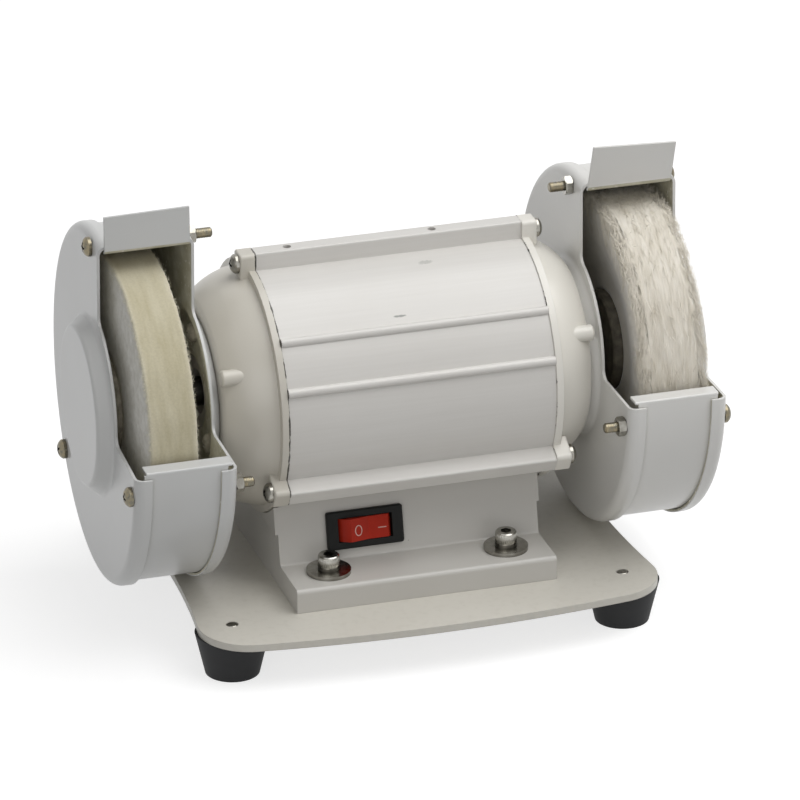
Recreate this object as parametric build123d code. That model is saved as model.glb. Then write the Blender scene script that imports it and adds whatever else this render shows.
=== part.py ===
"""Double-ended bench polisher for lenses: a felt wheel on the left, a cotton buff on the right.

Everything is modelled about the spindle: X runs along it to the right, Y to the rear and Z up,
with zero on the spindle's own line, halfway along the machine.  When the pieces are written
they are lifted by SPINDLE_HEIGHT, so that the origin lies on the floor below that point.
Angles round the spindle are in degrees from the top towards the front.  Sizes are millimetres.
"""

import math
import os

from build123d import *

SIDES = ("left", "right")

# Clearances
FIT = 0.03            # radial play of a seated or threaded piece
SLIP = 0.3            # gap between pieces that only lie beside each other
HOLE_PLAY = 0.3       # radial play of a screw in its clearance hole

# Stand: rubber feet and base plate
FOOT_HEIGHT = 17.4
FOOT_TOP_R = 15.0
FOOT_BOTTOM_R = 11.0
FOOT_RECESS_R = 6.5
FOOT_SEAT = 5.0       # rubber left above the recess
FOOT_X = 81.8
FOOT_Y = 63.7
PLATE_THICK = 3.0
PLATE_CORNER_X = 98.5
PLATE_WAIST_X = 91.5
PLATE_CORNER_Y = 81.5
PLATE_BULGE_Y = 90.0
PLATE_CORNER_R = 21.0
HOUSING_ABOVE_PLATE = 22.6   # from the plate to the lowest line of the motor housing

# Screws: thread radius, head radius and head height of each size
M5_R = 2.5
M5_PAN_R = 4.75
M5_PAN_H = 3.4
M5_CAP_R = 4.25
M5_CAP_H = 5.0
M5_SOCKET = 4.0
M5_FLATS = 8.0
M5_NUT_H = 4.0
M4_R = 2.0
M4_PAN_R = 4.0
M4_PAN_H = 2.9
M4_FLATS = 7.0
M4_NUT_H = 3.2
M3_R = 1.5
M3_PAN_R = 2.9
M3_PAN_H = 2.2
FOOT_WASHER_R = 5.8
FOOT_WASHER_T = 1.0
FLAT_WASHER_R = 9.0
FLAT_WASHER_T = 1.6
SPRING_WASHER_R = 4.4
SPRING_WASHER_T = 1.3
SPRING_WASHER_GAP = 0.9

# Pedestal casting
PEDESTAL_HALF_X = 54.4
SADDLE_HALF_X = 55.5
SADDLE_BAND_Z = 22.6  # underside of the longer saddle band, above the plate
PEDESTAL_FACE_Y = 38.86  # foot of the sloping face, at the flange top
PEDESTAL_SLOPE = 13.6    # lean of the front and rear faces
PEDESTAL_WALL = 5.0
FLANGE_Y = 62.6
FLANGE_THICK = 10.0
FLANGE_EDGE_R = 1.8
FLANGE_ROOT_R = 1.2
PEDESTAL_SCREW_X = 37.2
PEDESTAL_SCREW_Y = 48.9
WEB_X = 36.0
WEB_THICK = 6.0
WEB_BOSS_R = 6.0
WEB_BOSS_H = 9.0
SADDLE_SCREW_GRIP = 3.6  # thread length in the housing wall

# Rocker switch on the front face
SWITCH_X = -18.5
SWITCH_Z = 21.5       # centre above the plate
BEZEL_L = 31.9
BEZEL_H = 15.6
BEZEL_T = 2.0
BEZEL_EDGE_R = 1.0
SWITCH_BODY_L = 27.4
SWITCH_BODY_H = 12.8
SWITCH_BODY_D = 15.0
SWITCH_WALL = 1.2
ROCKER_L = 21.9
ROCKER_H = 9.3
ROCKER_PIVOT_D = 5.0  # pivot below the pedestal's face
ROCKER_TILT = 9.0     # lean of the rocker to each side
ROCKER_RISE = 0.5     # ridge of the rocker above the bezel
ROCKER_FLOOR = 3.0    # rocker material below the pivot
ROCKER_SWEEP_PLAY = 0.4
ROCKER_PIN_R = 1.2
ROCKER_PIN_L = 0.7
BLADE_W = 6.3
BLADE_T = 0.8
BLADE_L = 6.0
BLADE_PITCH = 9.5

# Cable gland on the rear face, without its cable
GLAND_X = 14.0
GLAND_Z = 20.4        # centre above the plate
GLAND_THREAD_R = 6.2
GLAND_BORE_R = 3.6
GLAND_HEX = 16.0
GLAND_HEX_T = 4.5
GLAND_NOSE_R = 6.6
GLAND_NOSE_L = 9.0
GLAND_CAP_R = 8.2
GLAND_CAP_L = 11.5
GLAND_SEAL_L = 5.0
GLAND_NUT_T = 4.0
GLAND_INSIDE = 6.0

# Electrical pieces inside the pedestal
CAPACITOR_L = 38.0
CAPACITOR_W = 26.0
CAPACITOR_H = 14.0
CAPACITOR_X = 8.0
CAPACITOR_Y = 0.0
CAPACITOR_EDGE_R = 2.0
CAPACITOR_TAB_L = 9.0
CAPACITOR_TAB_T = 2.5
BLOCK_WAYS = 4
BLOCK_PITCH = 8.0
BLOCK_W = 16.0
BLOCK_H = 10.0
BLOCK_X = -22.0
BLOCK_Y = 22.0
BLOCK_BASE_H = 6.0    # tall part of each way starts here
BLOCK_WAY_L = 6.4
BLOCK_WAY_W = 9.0
CLAMP_SCREW_R = 1.6
CLAMP_SCREW_HEAD_R = 1.9
CLAMP_SCREW_H = 1.2
CLAMP_SCREW_L = 4.0
LEAD_R = 2.0          # sleeved motor leads
LEAD_BEND_R = 5.0

# Motor housing, an extrusion with three bars and pairs of beads
HOUSING_LEFT = 53.7
HOUSING_RIGHT = 57.7
HOUSING_R = 51.0
HOUSING_WALL = 4.4
BAR_H = 7.2
BAR_W = 7.2
BAR_EDGE_R = 0.8
BAR_ANGLES = (0, 120, 240)
BEAD_R = 1.8
BEAD_SPREAD = 11.5
BEAD_ANGLES = (60, 300)
TOP_HOLE_X = (-39.5, 21.0)
TOP_HOLE_R = 1.65
TOP_HOLE_DEPTH = 6.0
LEAD_HOLE_X = -45.5
LEAD_HOLE_R = 3.2

# End bells
BELL_STEP = 0.6       # rim of the bell above the housing
BELL_FACE = 77.0      # outer face, from the middle of the machine
BELL_DOME_DROP = 14.3    # from the rim to the flat middle of the dome
BELL_FACE_EDGE = 4.0  # rounding between the flat middle and the dome
BELL_ARC_R = 33.5     # curve of the dome
BELL_ARC_X = 51.5     # middle of that curve, along the spindle
BELL_RIM_W = 3.0      # raised rim beside the joint with the housing
BELL_WALL = 4.0
SPIGOT_L = 3.0
SPIGOT_WALL = 3.0
HUB_WALL = 4.0
SHAFT_HOLE_R = 9.0
LUG_L = 6.4
LUG_W = 9.0
LUG_EDGE_R = 1.6
TIE_DEPTH = 4.8       # tie screw below the top of its bar
TIE_SCREW_L = 16.0
STUB_R = 3.3
STUB_INSET = 10.6     # stub inside the bell's rim
STUB_END = 77.6
STUB_ROOT = 62.0
STUB_ANGLES = (60, 180, 300)
MOUNT_CIRCLE_R = 26.0
MOUNT_BOSS_R = 5.0
MOUNT_BOSS_L = 7.0
MOUNT_SCREW_L = 10.0

# Ball bearings
BEARING_BORE_R = 6.0
BEARING_R = 16.0
BEARING_W = 10.0
BEARING_START = 60.0
BALL_R = 2.9
BALL_CIRCLE_R = 11.0
BALL_COUNT = 8
BALL_PLAY = 0.08
RACE_SHOULDER = 2.4   # race shoulder from the ball circle
CAGE_T = 1.6
CAGE_W = 7.6
PRELOAD_T = 1.0
PRELOAD_INNER_R = 12.6

# Stator and rotor
CORE_L = 52.0
AIR_GAP = 0.4
SLOTS = 18
SLOT_W = 5.0
SLOT_DEPTH = 11.2
CORE_YOKE = 6.6
SLOT_MOUTH_W = 2.0
TOOTH_TIP = 2.4
COIL_OVERHANG = 14.0
COIL_LIFT = 2.0
SHAFT_CORE_R = 8.0
ROTOR_BARS = 20
ROTOR_BAR_R = 1.8
ROTOR_BAR_DEPTH = 4.0   # bars below the rotor's face
END_RING_T = 7.0
END_RING_W = 8.0
END_RING_STEP = 1.0   # end rings below the rotor's face

# Spindle nose, wheel flanges and nuts
SHOULDER_X = 92.0     # where the inner wheel flange seats
THREAD_R = 5.0
SPINDLE_END = 124.0
FLANGE_DISC_R = 20.5
FLANGE_DISC_T = 4.0
FLANGE_RELIEF_R = 13.0
FLANGE_RELIEF_D = 1.0
SPINDLE_FLATS = 16.0
SPINDLE_NUT_H = 8.0

# Wheels
WHEEL_CLEARANCE = 10.9   # felt wheel inside the guard's rim
FELT_W = 20.0
WHEEL_HUB_W = 16.0
FELT_EDGE_R = 0.8
BUFF_CLEARANCE = 11.4    # cotton buff inside the guard's rim
BUFF_RIM_W = 29.6
BUFF_CROWN = 1.5
BUFF_SHOULDER = 6.0   # where the sides start, below the rim
BUFF_NECK_R = 30.0

# Wheel guards
SHEET = 1.2
GUARD_ABOVE_PLATE = 0.2
GUARD_W = {"left": 39.6, "right": 40.4}     # over the flat faces of both pans, at the spindle
COVER_YAW = {"left": 2.0, "right": 0.8}     # the rear bolt draws each cover in, a little askew
PAN_EDGE_R = 4.0
PAN_FLANGE = 7.0
SEAT_DOME_H = 4.0     # pressed seat of the inner pan
COVER_DOME_H = 6.0
DOME_TOP_R = 32.5
DOME_BASE_R = 36.5
DOME_BLEND_R = 2.6
HUB_HOLE_R = 15.0
MOUTH_REAR_Y = 9.5    # rear edge of the mouth, in front of the spindle
MOUTH_FLOOR_Z = 0.0
BULGE_R = 38.0
BULGE_RISE = 3.0
MOUTH_BLEND_R = 4.0
BAND_T = 1.0
BAND_FIT = 0.35
VISOR_W = 35.0
VISOR_L = {"left": 14.8, "right": 18.4}     # above the fold; bent up by hand, so the two differ
VISOR_LAP = 0.3       # flat of the band before the fold
VISOR_LEAN = {"left": 0.0, "right": 12.0}   # top leans to the front
VISOR_ROLL = {"left": 1.0, "right": 3.0}    # outer end hangs lower
LIP_Z = 1.5
LIP_DEPTH = 6.8
BEND_R = 0.8          # inside the folds of the band
GUARD_BOLT_INSETS = ((4.9, -1.5), (6.4, 98.0), (6.9, 229.0))   # from the rim, and the angle
GUARD_BOLT_L = 50.0
GUARD_TURN = {"left": 1.4, "right": -1.4}   # each guard's small turn, mouth down positive

# Levels and places that follow from the sizes above
PLATE_TOP = -HOUSING_R - HOUSING_ABOVE_PLATE
PLATE_BOTTOM = PLATE_TOP - PLATE_THICK
FLOOR = PLATE_BOTTOM - FOOT_HEIGHT
SPINDLE_HEIGHT = -FLOOR
FLANGE_TOP = PLATE_TOP + FLANGE_THICK
SADDLE_BOTTOM = PLATE_TOP + SADDLE_BAND_Z
SWITCH_LEVEL = PLATE_TOP + SWITCH_Z
GLAND_LEVEL = PLATE_TOP + GLAND_Z
HOUSING_BORE_R = HOUSING_R - HOUSING_WALL
SLOT_BOTTOM_R = HOUSING_BORE_R - CORE_YOKE
ROTOR_R = SLOT_BOTTOM_R - SLOT_DEPTH - TOOTH_TIP - AIR_GAP
ROTOR_BAR_CIRCLE_R = ROTOR_R - ROTOR_BAR_DEPTH
END_RING_OUTER_R = ROTOR_R - END_RING_STEP
END_RING_INNER_R = END_RING_OUTER_R - END_RING_W
BAR_TOP_R = HOUSING_R + BAR_H
TIE_CIRCLE_R = BAR_TOP_R - TIE_DEPTH
BELL_R = HOUSING_R + BELL_STEP
BELL_FACE_R = BELL_R - BELL_DOME_DROP
STUB_CIRCLE_R = BELL_R - STUB_INSET
HOUSING_MID = (HOUSING_RIGHT - HOUSING_LEFT) / 2
HOUSING_END = {"left": HOUSING_LEFT, "right": HOUSING_RIGHT}
PAN_IN_X = BELL_FACE + SEAT_DOME_H
COVER_X = {side: PAN_IN_X + GUARD_W[side] for side in SIDES}
GUARD_R = -PLATE_TOP - GUARD_ABOVE_PLATE
WHEEL_R = GUARD_R - WHEEL_CLEARANCE
BUFF_R = GUARD_R - BUFF_CLEARANCE
GUARD_BOLT_PLACES = [(GUARD_R - inset, angle) for inset, angle in GUARD_BOLT_INSETS]
WHEEL_HUB_X = SHOULDER_X + FLANGE_DISC_T
WHEEL_MID_X = WHEEL_HUB_X + WHEEL_HUB_W / 2
OUTER_FLANGE_X = WHEEL_HUB_X + WHEEL_HUB_W
SPINDLE_NUT_X = OUTER_FLANGE_X + FLANGE_DISC_T
FOOT_PLACES = {
    "front_left": (-FOOT_X, -FOOT_Y),
    "front_right": (FOOT_X, -FOOT_Y),
    "rear_left": (-FOOT_X, FOOT_Y),
    "rear_right": (FOOT_X, FOOT_Y),
}
PEDESTAL_SCREWS = [
    (x, y)
    for y in (-PEDESTAL_SCREW_Y, PEDESTAL_SCREW_Y)
    for x in (-PEDESTAL_SCREW_X, PEDESTAL_SCREW_X)
]
BLOCK_L = BLOCK_WAYS * BLOCK_PITCH
BLOCK_WAY_X = [BLOCK_X + (way - (BLOCK_WAYS - 1) / 2) * BLOCK_PITCH for way in range(BLOCK_WAYS)]
CAPACITOR_SCREW = (CAPACITOR_X + (CAPACITOR_L + CAPACITOR_TAB_L) / 2, CAPACITOR_Y)
SLOPE_SIN = math.sin(math.radians(PEDESTAL_SLOPE))
SLOPE_COS = math.cos(math.radians(PEDESTAL_SLOPE))


def face_y(z):
    """Distance of the pedestal's sloping face from the middle plane at height z."""
    return PEDESTAL_FACE_Y - (z - FLANGE_TOP) * SLOPE_SIN / SLOPE_COS


SWITCH_PLANE = Plane(
    origin=(SWITCH_X, -face_y(SWITCH_LEVEL), SWITCH_LEVEL),
    x_dir=(1, 0, 0),
    z_dir=(0, -SLOPE_COS, SLOPE_SIN),
)
GLAND_PLANE = Plane(
    origin=(GLAND_X, face_y(GLAND_LEVEL), GLAND_LEVEL),
    x_dir=(-1, 0, 0),
    z_dir=(0, SLOPE_COS, SLOPE_SIN),
)

PARTS = {}
GUARD_BOLTS = []
GUARD_NUTS = []
GUARD_SCREWS = []


# Small helpers

def rod(radius, x0, x1, y=0.0, z=0.0):
    """Cylinder along X from x0 to x1."""
    turn = Rot(0, 90, 0)
    return Pos((x0 + x1) / 2, y, z) * turn * Cylinder(radius, abs(x1 - x0))


def post(radius, z0, z1, x=0.0, y=0.0):
    """Cylinder along Z from z0 to z1."""
    return Pos(x, y, (z0 + z1) / 2) * Cylinder(radius, abs(z1 - z0))


def block(x0, x1, y0, y1, z0, z1):
    """Box between two corners."""
    centre = Pos((x0 + x1) / 2, (y0 + y1) / 2, (z0 + z1) / 2)
    return centre * Box(abs(x1 - x0), abs(y1 - y0), abs(z1 - z0))


def turned(*points):
    """Solid turned about the spindle from a profile of (x, radius) points."""
    return revolve(Plane.XZ * make_face(Polyline(*points, close=True)), Axis.X)


def around(angle, shape):
    """Shape carried round the spindle from the top towards the front."""
    return Rot(angle, 0, 0) * shape


def ring_of(angles, shape):
    """Copies of a shape at several angles round the spindle."""
    return [around(angle, shape) for angle in angles]


def on_side(side, shape):
    """Shape of the right side, mirrored for the left."""
    return shape if side == "right" else mirror(shape, about=Plane.YZ)


def group(shapes):
    """Separate solids that share a node."""
    return Compound(children=[solid for shape in shapes for solid in shape.solids()])


def add(name, shape):
    PARTS[name] = shape


# Fasteners, each standing on z = 0 with its head up and its thread down

def cross_recess(head_r, head_h):
    """Crossed slots cut into a pan head."""
    arm = Box(head_r * 1.05, head_r * 0.24, head_h)
    return Pos(0, 0, head_h) * (arm + Rot(0, 0, 90) * arm)


def pan_screw(thread_r, length, head_r, head_h):
    crown = head_h * 0.55
    side = Line((head_r, 0), (head_r, head_h - crown))
    dome = ThreePointArc(
        (head_r, head_h - crown),
        (head_r * 0.72, head_h - crown * 0.24),
        (0, head_h),
    )
    profile = make_face([Line((0, 0), (head_r, 0)), side, dome, Line((0, head_h), (0, 0))])
    head = revolve(Plane.XZ * profile, Axis.Z)
    shank = chamfer(post(thread_r, -length, 0).edges().group_by(Axis.Z)[0], thread_r * 0.25)
    return head + shank - cross_recess(head_r, head_h)


def cap_screw(thread_r, length, head_r, head_h, socket):
    head = chamfer(post(head_r, 0, head_h).edges().group_by(Axis.Z)[-1], head_r * 0.1)
    shank = chamfer(post(thread_r, -length, 0).edges().group_by(Axis.Z)[0], thread_r * 0.25)
    hexagon = RegularPolygon(radius=socket / 2, side_count=6, major_radius=False)
    return head + shank - Pos(0, 0, head_h / 2) * extrude(hexagon, head_h)


def hex_prism(flats, height):
    """Hexagonal block with its corners taken off at both ends."""
    prism = extrude(RegularPolygon(radius=flats / 2, side_count=6, major_radius=False), height)
    corner_r = flats / math.sqrt(3)
    envelope = chamfer(post(corner_r, 0, height).edges(), (corner_r - flats / 2) * 0.9)
    return prism & envelope


def hex_nut(flats, height, thread_r):
    return hex_prism(flats, height) - post(thread_r + FIT, -height, 2 * height)


def washer(radius, hole_r, thick):
    return post(radius, 0, thick) - post(hole_r, -thick, 2 * thick)


def spring_washer(radius, hole_r, thick, gap):
    split = Pos(radius, 0, thick / 2) * Rot(20, 0, 0) * Box(2 * radius, gap, 4 * thick)
    return washer(radius, hole_r, thick) - split


# Stand

def make_base_plate():
    x, y = PLATE_CORNER_X, PLATE_CORNER_Y
    front = ThreePointArc((-x, -y), (0, -PLATE_BULGE_Y), (x, -y))
    right = ThreePointArc((x, -y), (PLATE_WAIST_X, 0), (x, y))
    rear = ThreePointArc((x, y), (0, PLATE_BULGE_Y), (-x, y))
    left = ThreePointArc((-x, y), (-PLATE_WAIST_X, 0), (-x, -y))
    outline = make_face([front, right, rear, left])
    outline = fillet(outline.vertices(), PLATE_CORNER_R)
    plate = Pos(0, 0, PLATE_BOTTOM) * extrude(outline, PLATE_THICK)
    below, above = PLATE_BOTTOM - 1, PLATE_TOP + 1
    for px, py in FOOT_PLACES.values():
        plate -= post(M5_R + FIT, below, above, px, py)
    for px, py in PEDESTAL_SCREWS:
        plate -= post(M5_R + HOLE_PLAY, below, above, px, py)
    for px, py in (CAPACITOR_SCREW, (BLOCK_X, BLOCK_Y)):
        plate -= post(M3_R + FIT, below, above, px, py)
    add("base_plate", plate)


def make_feet():
    seat = PLATE_BOTTOM - FOOT_SEAT
    foot = Pos(0, 0, (FLOOR + PLATE_BOTTOM) / 2) * Cone(FOOT_BOTTOM_R, FOOT_TOP_R, FOOT_HEIGHT)
    foot -= post(FOOT_RECESS_R, FLOOR - 1, seat)
    foot -= post(M5_R + HOLE_PLAY, seat - 1, PLATE_BOTTOM + 1)
    ring = washer(FOOT_WASHER_R, M5_R + HOLE_PLAY, FOOT_WASHER_T)
    screw_l = FOOT_WASHER_T + FOOT_SEAT + PLATE_THICK
    screw = Rot(180, 0, 0) * pan_screw(M5_R, screw_l, M5_PAN_R, M5_PAN_H)
    rings, screws = [], []
    for name, (x, y) in FOOT_PLACES.items():
        add("foot_" + name, Pos(x, y, 0) * foot)
        rings.append(Pos(x, y, seat - FOOT_WASHER_T) * ring)
        screws.append(Pos(x, y, seat - FOOT_WASHER_T) * screw)
    add("foot_washers", group(rings))
    add("foot_screws", group(screws))


def make_pedestal():
    top = -HOUSING_R / 2
    flange_edge = (-FLANGE_Y, FLANGE_TOP)
    root = (-PEDESTAL_FACE_Y, FLANGE_TOP)
    crest = (-face_y(top), top)
    half = FilletPolyline(
        (0, PLATE_TOP), (-FLANGE_Y, PLATE_TOP), flange_edge, root, crest, (0, top),
        radius=[0, FLANGE_EDGE_R, FLANGE_ROOT_R, 0],
    )
    section = make_face([half, Line((0, top), (0, PLATE_TOP))])
    section += mirror(section, about=Plane.YZ)
    wall = PEDESTAL_WALL / SLOPE_COS
    inner = make_face(Polyline(
        (-face_y(PLATE_TOP) + wall, PLATE_TOP),
        (-face_y(top) + wall, top),
        (face_y(top) - wall, top),
        (face_y(PLATE_TOP) - wall, PLATE_TOP),
        close=True,
    ))
    body = extrude(Plane.YZ * section, PEDESTAL_HALF_X, both=True)
    saddle = extrude(Plane.YZ * section, SADDLE_HALF_X, both=True)
    body += saddle & block(-SADDLE_HALF_X, SADDLE_HALF_X, -FLANGE_Y, FLANGE_Y, SADDLE_BOTTOM, top)
    hollow = extrude(Plane.YZ * inner, PEDESTAL_HALF_X - PEDESTAL_WALL, both=True)
    body -= hollow
    boss_bottom = -HOUSING_R - WEB_BOSS_H
    for x in (-WEB_X, WEB_X):
        web = block(x - WEB_THICK / 2, x + WEB_THICK / 2, -FLANGE_Y, FLANGE_Y, boss_bottom, top)
        body += (web & hollow) + post(WEB_BOSS_R, boss_bottom, -HOUSING_R, x)
        body -= post(M5_R + HOLE_PLAY, boss_bottom - 1, top, x)
    body -= rod(HOUSING_R + FIT, -2 * SADDLE_HALF_X, 2 * SADDLE_HALF_X)
    for side, joint in HOUSING_END.items():
        body -= on_side(side, rod(BELL_R + SLIP, joint - SLIP, 2 * SADDLE_HALF_X))
    for x, y in PEDESTAL_SCREWS:
        body -= post(M5_R + HOLE_PLAY, PLATE_TOP - 1, FLANGE_TOP + 1, x, y)
    pocket = Box(SWITCH_BODY_L + 2 * SLIP, SWITCH_BODY_H + 2 * SLIP, 4 * PEDESTAL_WALL)
    body -= SWITCH_PLANE.location * pocket
    body -= GLAND_PLANE.location * Cylinder(GLAND_THREAD_R + HOLE_PLAY, 4 * PEDESTAL_WALL)
    add("pedestal", body)


def make_pedestal_fasteners():
    flat = washer(FLAT_WASHER_R, M5_R + HOLE_PLAY, FLAT_WASHER_T)
    spring = spring_washer(SPRING_WASHER_R, M5_R + HOLE_PLAY, SPRING_WASHER_T, SPRING_WASHER_GAP)
    head_z = FLANGE_TOP + FLAT_WASHER_T + SPRING_WASHER_T
    nut_z = PLATE_BOTTOM - M5_NUT_H
    screw = cap_screw(M5_R, head_z - nut_z + M5_R / 2, M5_CAP_R, M5_CAP_H, M5_SOCKET)
    nut = hex_nut(M5_FLATS, M5_NUT_H, M5_R)
    flats, springs, screws, nuts = [], [], [], []
    for number, (x, y) in enumerate(PEDESTAL_SCREWS):
        flats.append(Pos(x, y, FLANGE_TOP) * flat)
        springs.append(Pos(x, y, head_z - SPRING_WASHER_T) * Rot(0, 0, 70 * number) * spring)
        screws.append(Pos(x, y, head_z) * Rot(0, 0, 17 * number) * screw)
        nuts.append(Pos(x, y, nut_z) * nut)
    add("pedestal_flat_washers", group(flats))
    add("pedestal_spring_washers", group(springs))
    add("pedestal_cap_screws", group(screws))
    add("pedestal_nuts", group(nuts))
    grip = WEB_BOSS_H + SADDLE_SCREW_GRIP
    saddle_screw = Rot(180, 0, 0) * pan_screw(M5_R, grip, M5_PAN_R, M5_PAN_H)
    places = [Pos(x, 0, -HOUSING_R - WEB_BOSS_H) for x in (-WEB_X, WEB_X)]
    add("saddle_screws", group([place * saddle_screw for place in places]))


# Rocker switch: built lying on the pedestal's face, z outwards

def make_switch():
    at_face = SWITCH_PLANE.location
    sweep_r = math.hypot(ROCKER_L / 2, ROCKER_PIVOT_D)
    window_l = ROCKER_L + 2 * ROCKER_SWEEP_PLAY
    window_h = ROCKER_H + 2 * SLIP
    bezel = extrude(RectangleRounded(BEZEL_L, BEZEL_H, BEZEL_EDGE_R), BEZEL_T)
    bezel = chamfer(bezel.edges().group_by(Axis.Z)[-1], BEZEL_EDGE_R / 2)
    case = block(
        -SWITCH_BODY_L / 2, SWITCH_BODY_L / 2, -SWITCH_BODY_H / 2, SWITCH_BODY_H / 2,
        -SWITCH_BODY_D, 0,
    )
    room_l = 2 * (sweep_r + ROCKER_SWEEP_PLAY)
    room = block(
        -room_l / 2, room_l / 2, -window_h / 2, window_h / 2,
        -SWITCH_BODY_D + SWITCH_WALL, 0,
    )
    window = block(-window_l / 2, window_l / 2, -window_h / 2, window_h / 2, -1, BEZEL_T + 1)
    pin = Pos(0, 0, -ROCKER_PIVOT_D) * Rot(90, 0, 0) * Cylinder(
        ROCKER_PIN_R, ROCKER_H + 2 * (SLIP + ROCKER_PIN_L)
    )
    pin_hole = Pos(0, 0, -ROCKER_PIVOT_D) * Rot(90, 0, 0) * Cylinder(
        ROCKER_PIN_R + FIT, ROCKER_H + 2 * (2 * SLIP + ROCKER_PIN_L)
    )
    add("switch_body", at_face * (bezel + case - room - window - pin_hole))

    ridge = BEZEL_T + ROCKER_RISE
    wing = ridge + ROCKER_L / 2 * math.tan(math.radians(ROCKER_TILT))
    section = make_face(Polyline(
        (-ROCKER_L, -ROCKER_PIVOT_D - ROCKER_FLOOR), (ROCKER_L, -ROCKER_PIVOT_D - ROCKER_FLOOR),
        (ROCKER_L, 2 * wing - ridge), (0, ridge), (-ROCKER_L, 2 * wing - ridge),
        close=True,
    ))
    paddle = extrude(Plane.XZ * section, ROCKER_H / 2, both=True)
    paddle &= Pos(0, 0, -ROCKER_PIVOT_D) * Rot(90, 0, 0) * Cylinder(sweep_r, ROCKER_H)
    rocker = paddle + pin
    pivot = Pos(0, 0, -ROCKER_PIVOT_D)
    lean = pivot * Rot(0, ROCKER_TILT, 0) * Pos(0, 0, ROCKER_PIVOT_D)
    add("switch_rocker", at_face * lean * rocker)

    blade = block(-BLADE_T / 2, BLADE_T / 2, -BLADE_W / 2, BLADE_W / 2,
                  -SWITCH_BODY_D - BLADE_L, -SWITCH_BODY_D)
    blades = [Pos(step * BLADE_PITCH, 0, 0) * blade for step in (-0.5, 0.5)]
    add("switch_terminals", group([at_face * one for one in blades]))


def make_gland():
    """Empty gland: sleeve through the wall, lock nut inside, seal and cap outside."""
    at_face = GLAND_PLANE.location
    wall = PEDESTAL_WALL
    sleeve = post(GLAND_THREAD_R, -wall - GLAND_NUT_T - GLAND_INSIDE / 2, 0)
    sleeve += hex_prism(GLAND_HEX, GLAND_HEX_T)
    sleeve += post(GLAND_NOSE_R, GLAND_HEX_T, GLAND_HEX_T + GLAND_NOSE_L)
    sleeve -= post(GLAND_BORE_R, -wall - GLAND_NUT_T - GLAND_INSIDE, GLAND_HEX_T + GLAND_NOSE_L)
    seal_r = (GLAND_BORE_R + GLAND_NOSE_R) / 2
    seal_top = GLAND_HEX_T + GLAND_NOSE_L
    sleeve -= post(seal_r + FIT, seal_top - GLAND_SEAL_L, seal_top + 1)
    add("gland_sleeve", at_face * sleeve)
    seal = post(seal_r, seal_top - GLAND_SEAL_L, seal_top)
    seal -= post(GLAND_BORE_R, seal_top - 2 * GLAND_SEAL_L, seal_top + 1)
    add("gland_seal", at_face * seal)
    cap_z = GLAND_HEX_T + SLIP
    profile = FilletPolyline(
        (0, cap_z), (GLAND_CAP_R, cap_z), (GLAND_CAP_R, cap_z + GLAND_CAP_L), (0, cap_z + GLAND_CAP_L),
        radius=[0, GLAND_CAP_R - GLAND_BORE_R - SLIP],
    )
    close = Line((0, cap_z + GLAND_CAP_L), (0, cap_z))
    cap = revolve(Plane.XZ * make_face([profile, close]), Axis.Z)
    cap -= post(GLAND_NOSE_R + FIT, 0, seal_top + FIT)
    cap -= post(GLAND_BORE_R, 0, cap_z + 2 * GLAND_CAP_L)
    add("gland_cap", at_face * cap)
    nut = Pos(0, 0, -wall - GLAND_NUT_T) * hex_nut(GLAND_HEX, GLAND_NUT_T, GLAND_THREAD_R)
    add("gland_lock_nut", at_face * nut)


def make_electrics():
    x, y = CAPACITOR_X, CAPACITOR_Y
    case = Pos(x, y, PLATE_TOP) * extrude(
        RectangleRounded(CAPACITOR_L, CAPACITOR_W, CAPACITOR_EDGE_R), CAPACITOR_H
    )
    case = fillet(case.edges().group_by(Axis.Z)[-1], CAPACITOR_EDGE_R / 2)
    end = x + CAPACITOR_L / 2
    tab_half = CAPACITOR_TAB_L / 2
    case += block(end - 1, end + CAPACITOR_TAB_L, y - tab_half, y + tab_half,
                  PLATE_TOP, PLATE_TOP + CAPACITOR_TAB_T)
    screw_x, screw_y = CAPACITOR_SCREW
    case -= post(M3_R + HOLE_PLAY, PLATE_TOP - 1, PLATE_TOP + 2 * CAPACITOR_TAB_T, screw_x, screw_y)
    add("run_capacitor", case)
    tab_screw = pan_screw(M3_R, CAPACITOR_TAB_T + PLATE_THICK, M3_PAN_R, M3_PAN_H)
    block_screw = pan_screw(M3_R, BLOCK_BASE_H + PLATE_THICK, M3_PAN_R, M3_PAN_H)
    add("plate_screws", group([
        Pos(screw_x, screw_y, PLATE_TOP + CAPACITOR_TAB_T) * tab_screw,
        Pos(BLOCK_X, BLOCK_Y, PLATE_TOP + BLOCK_BASE_H) * block_screw,
    ]))


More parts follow.
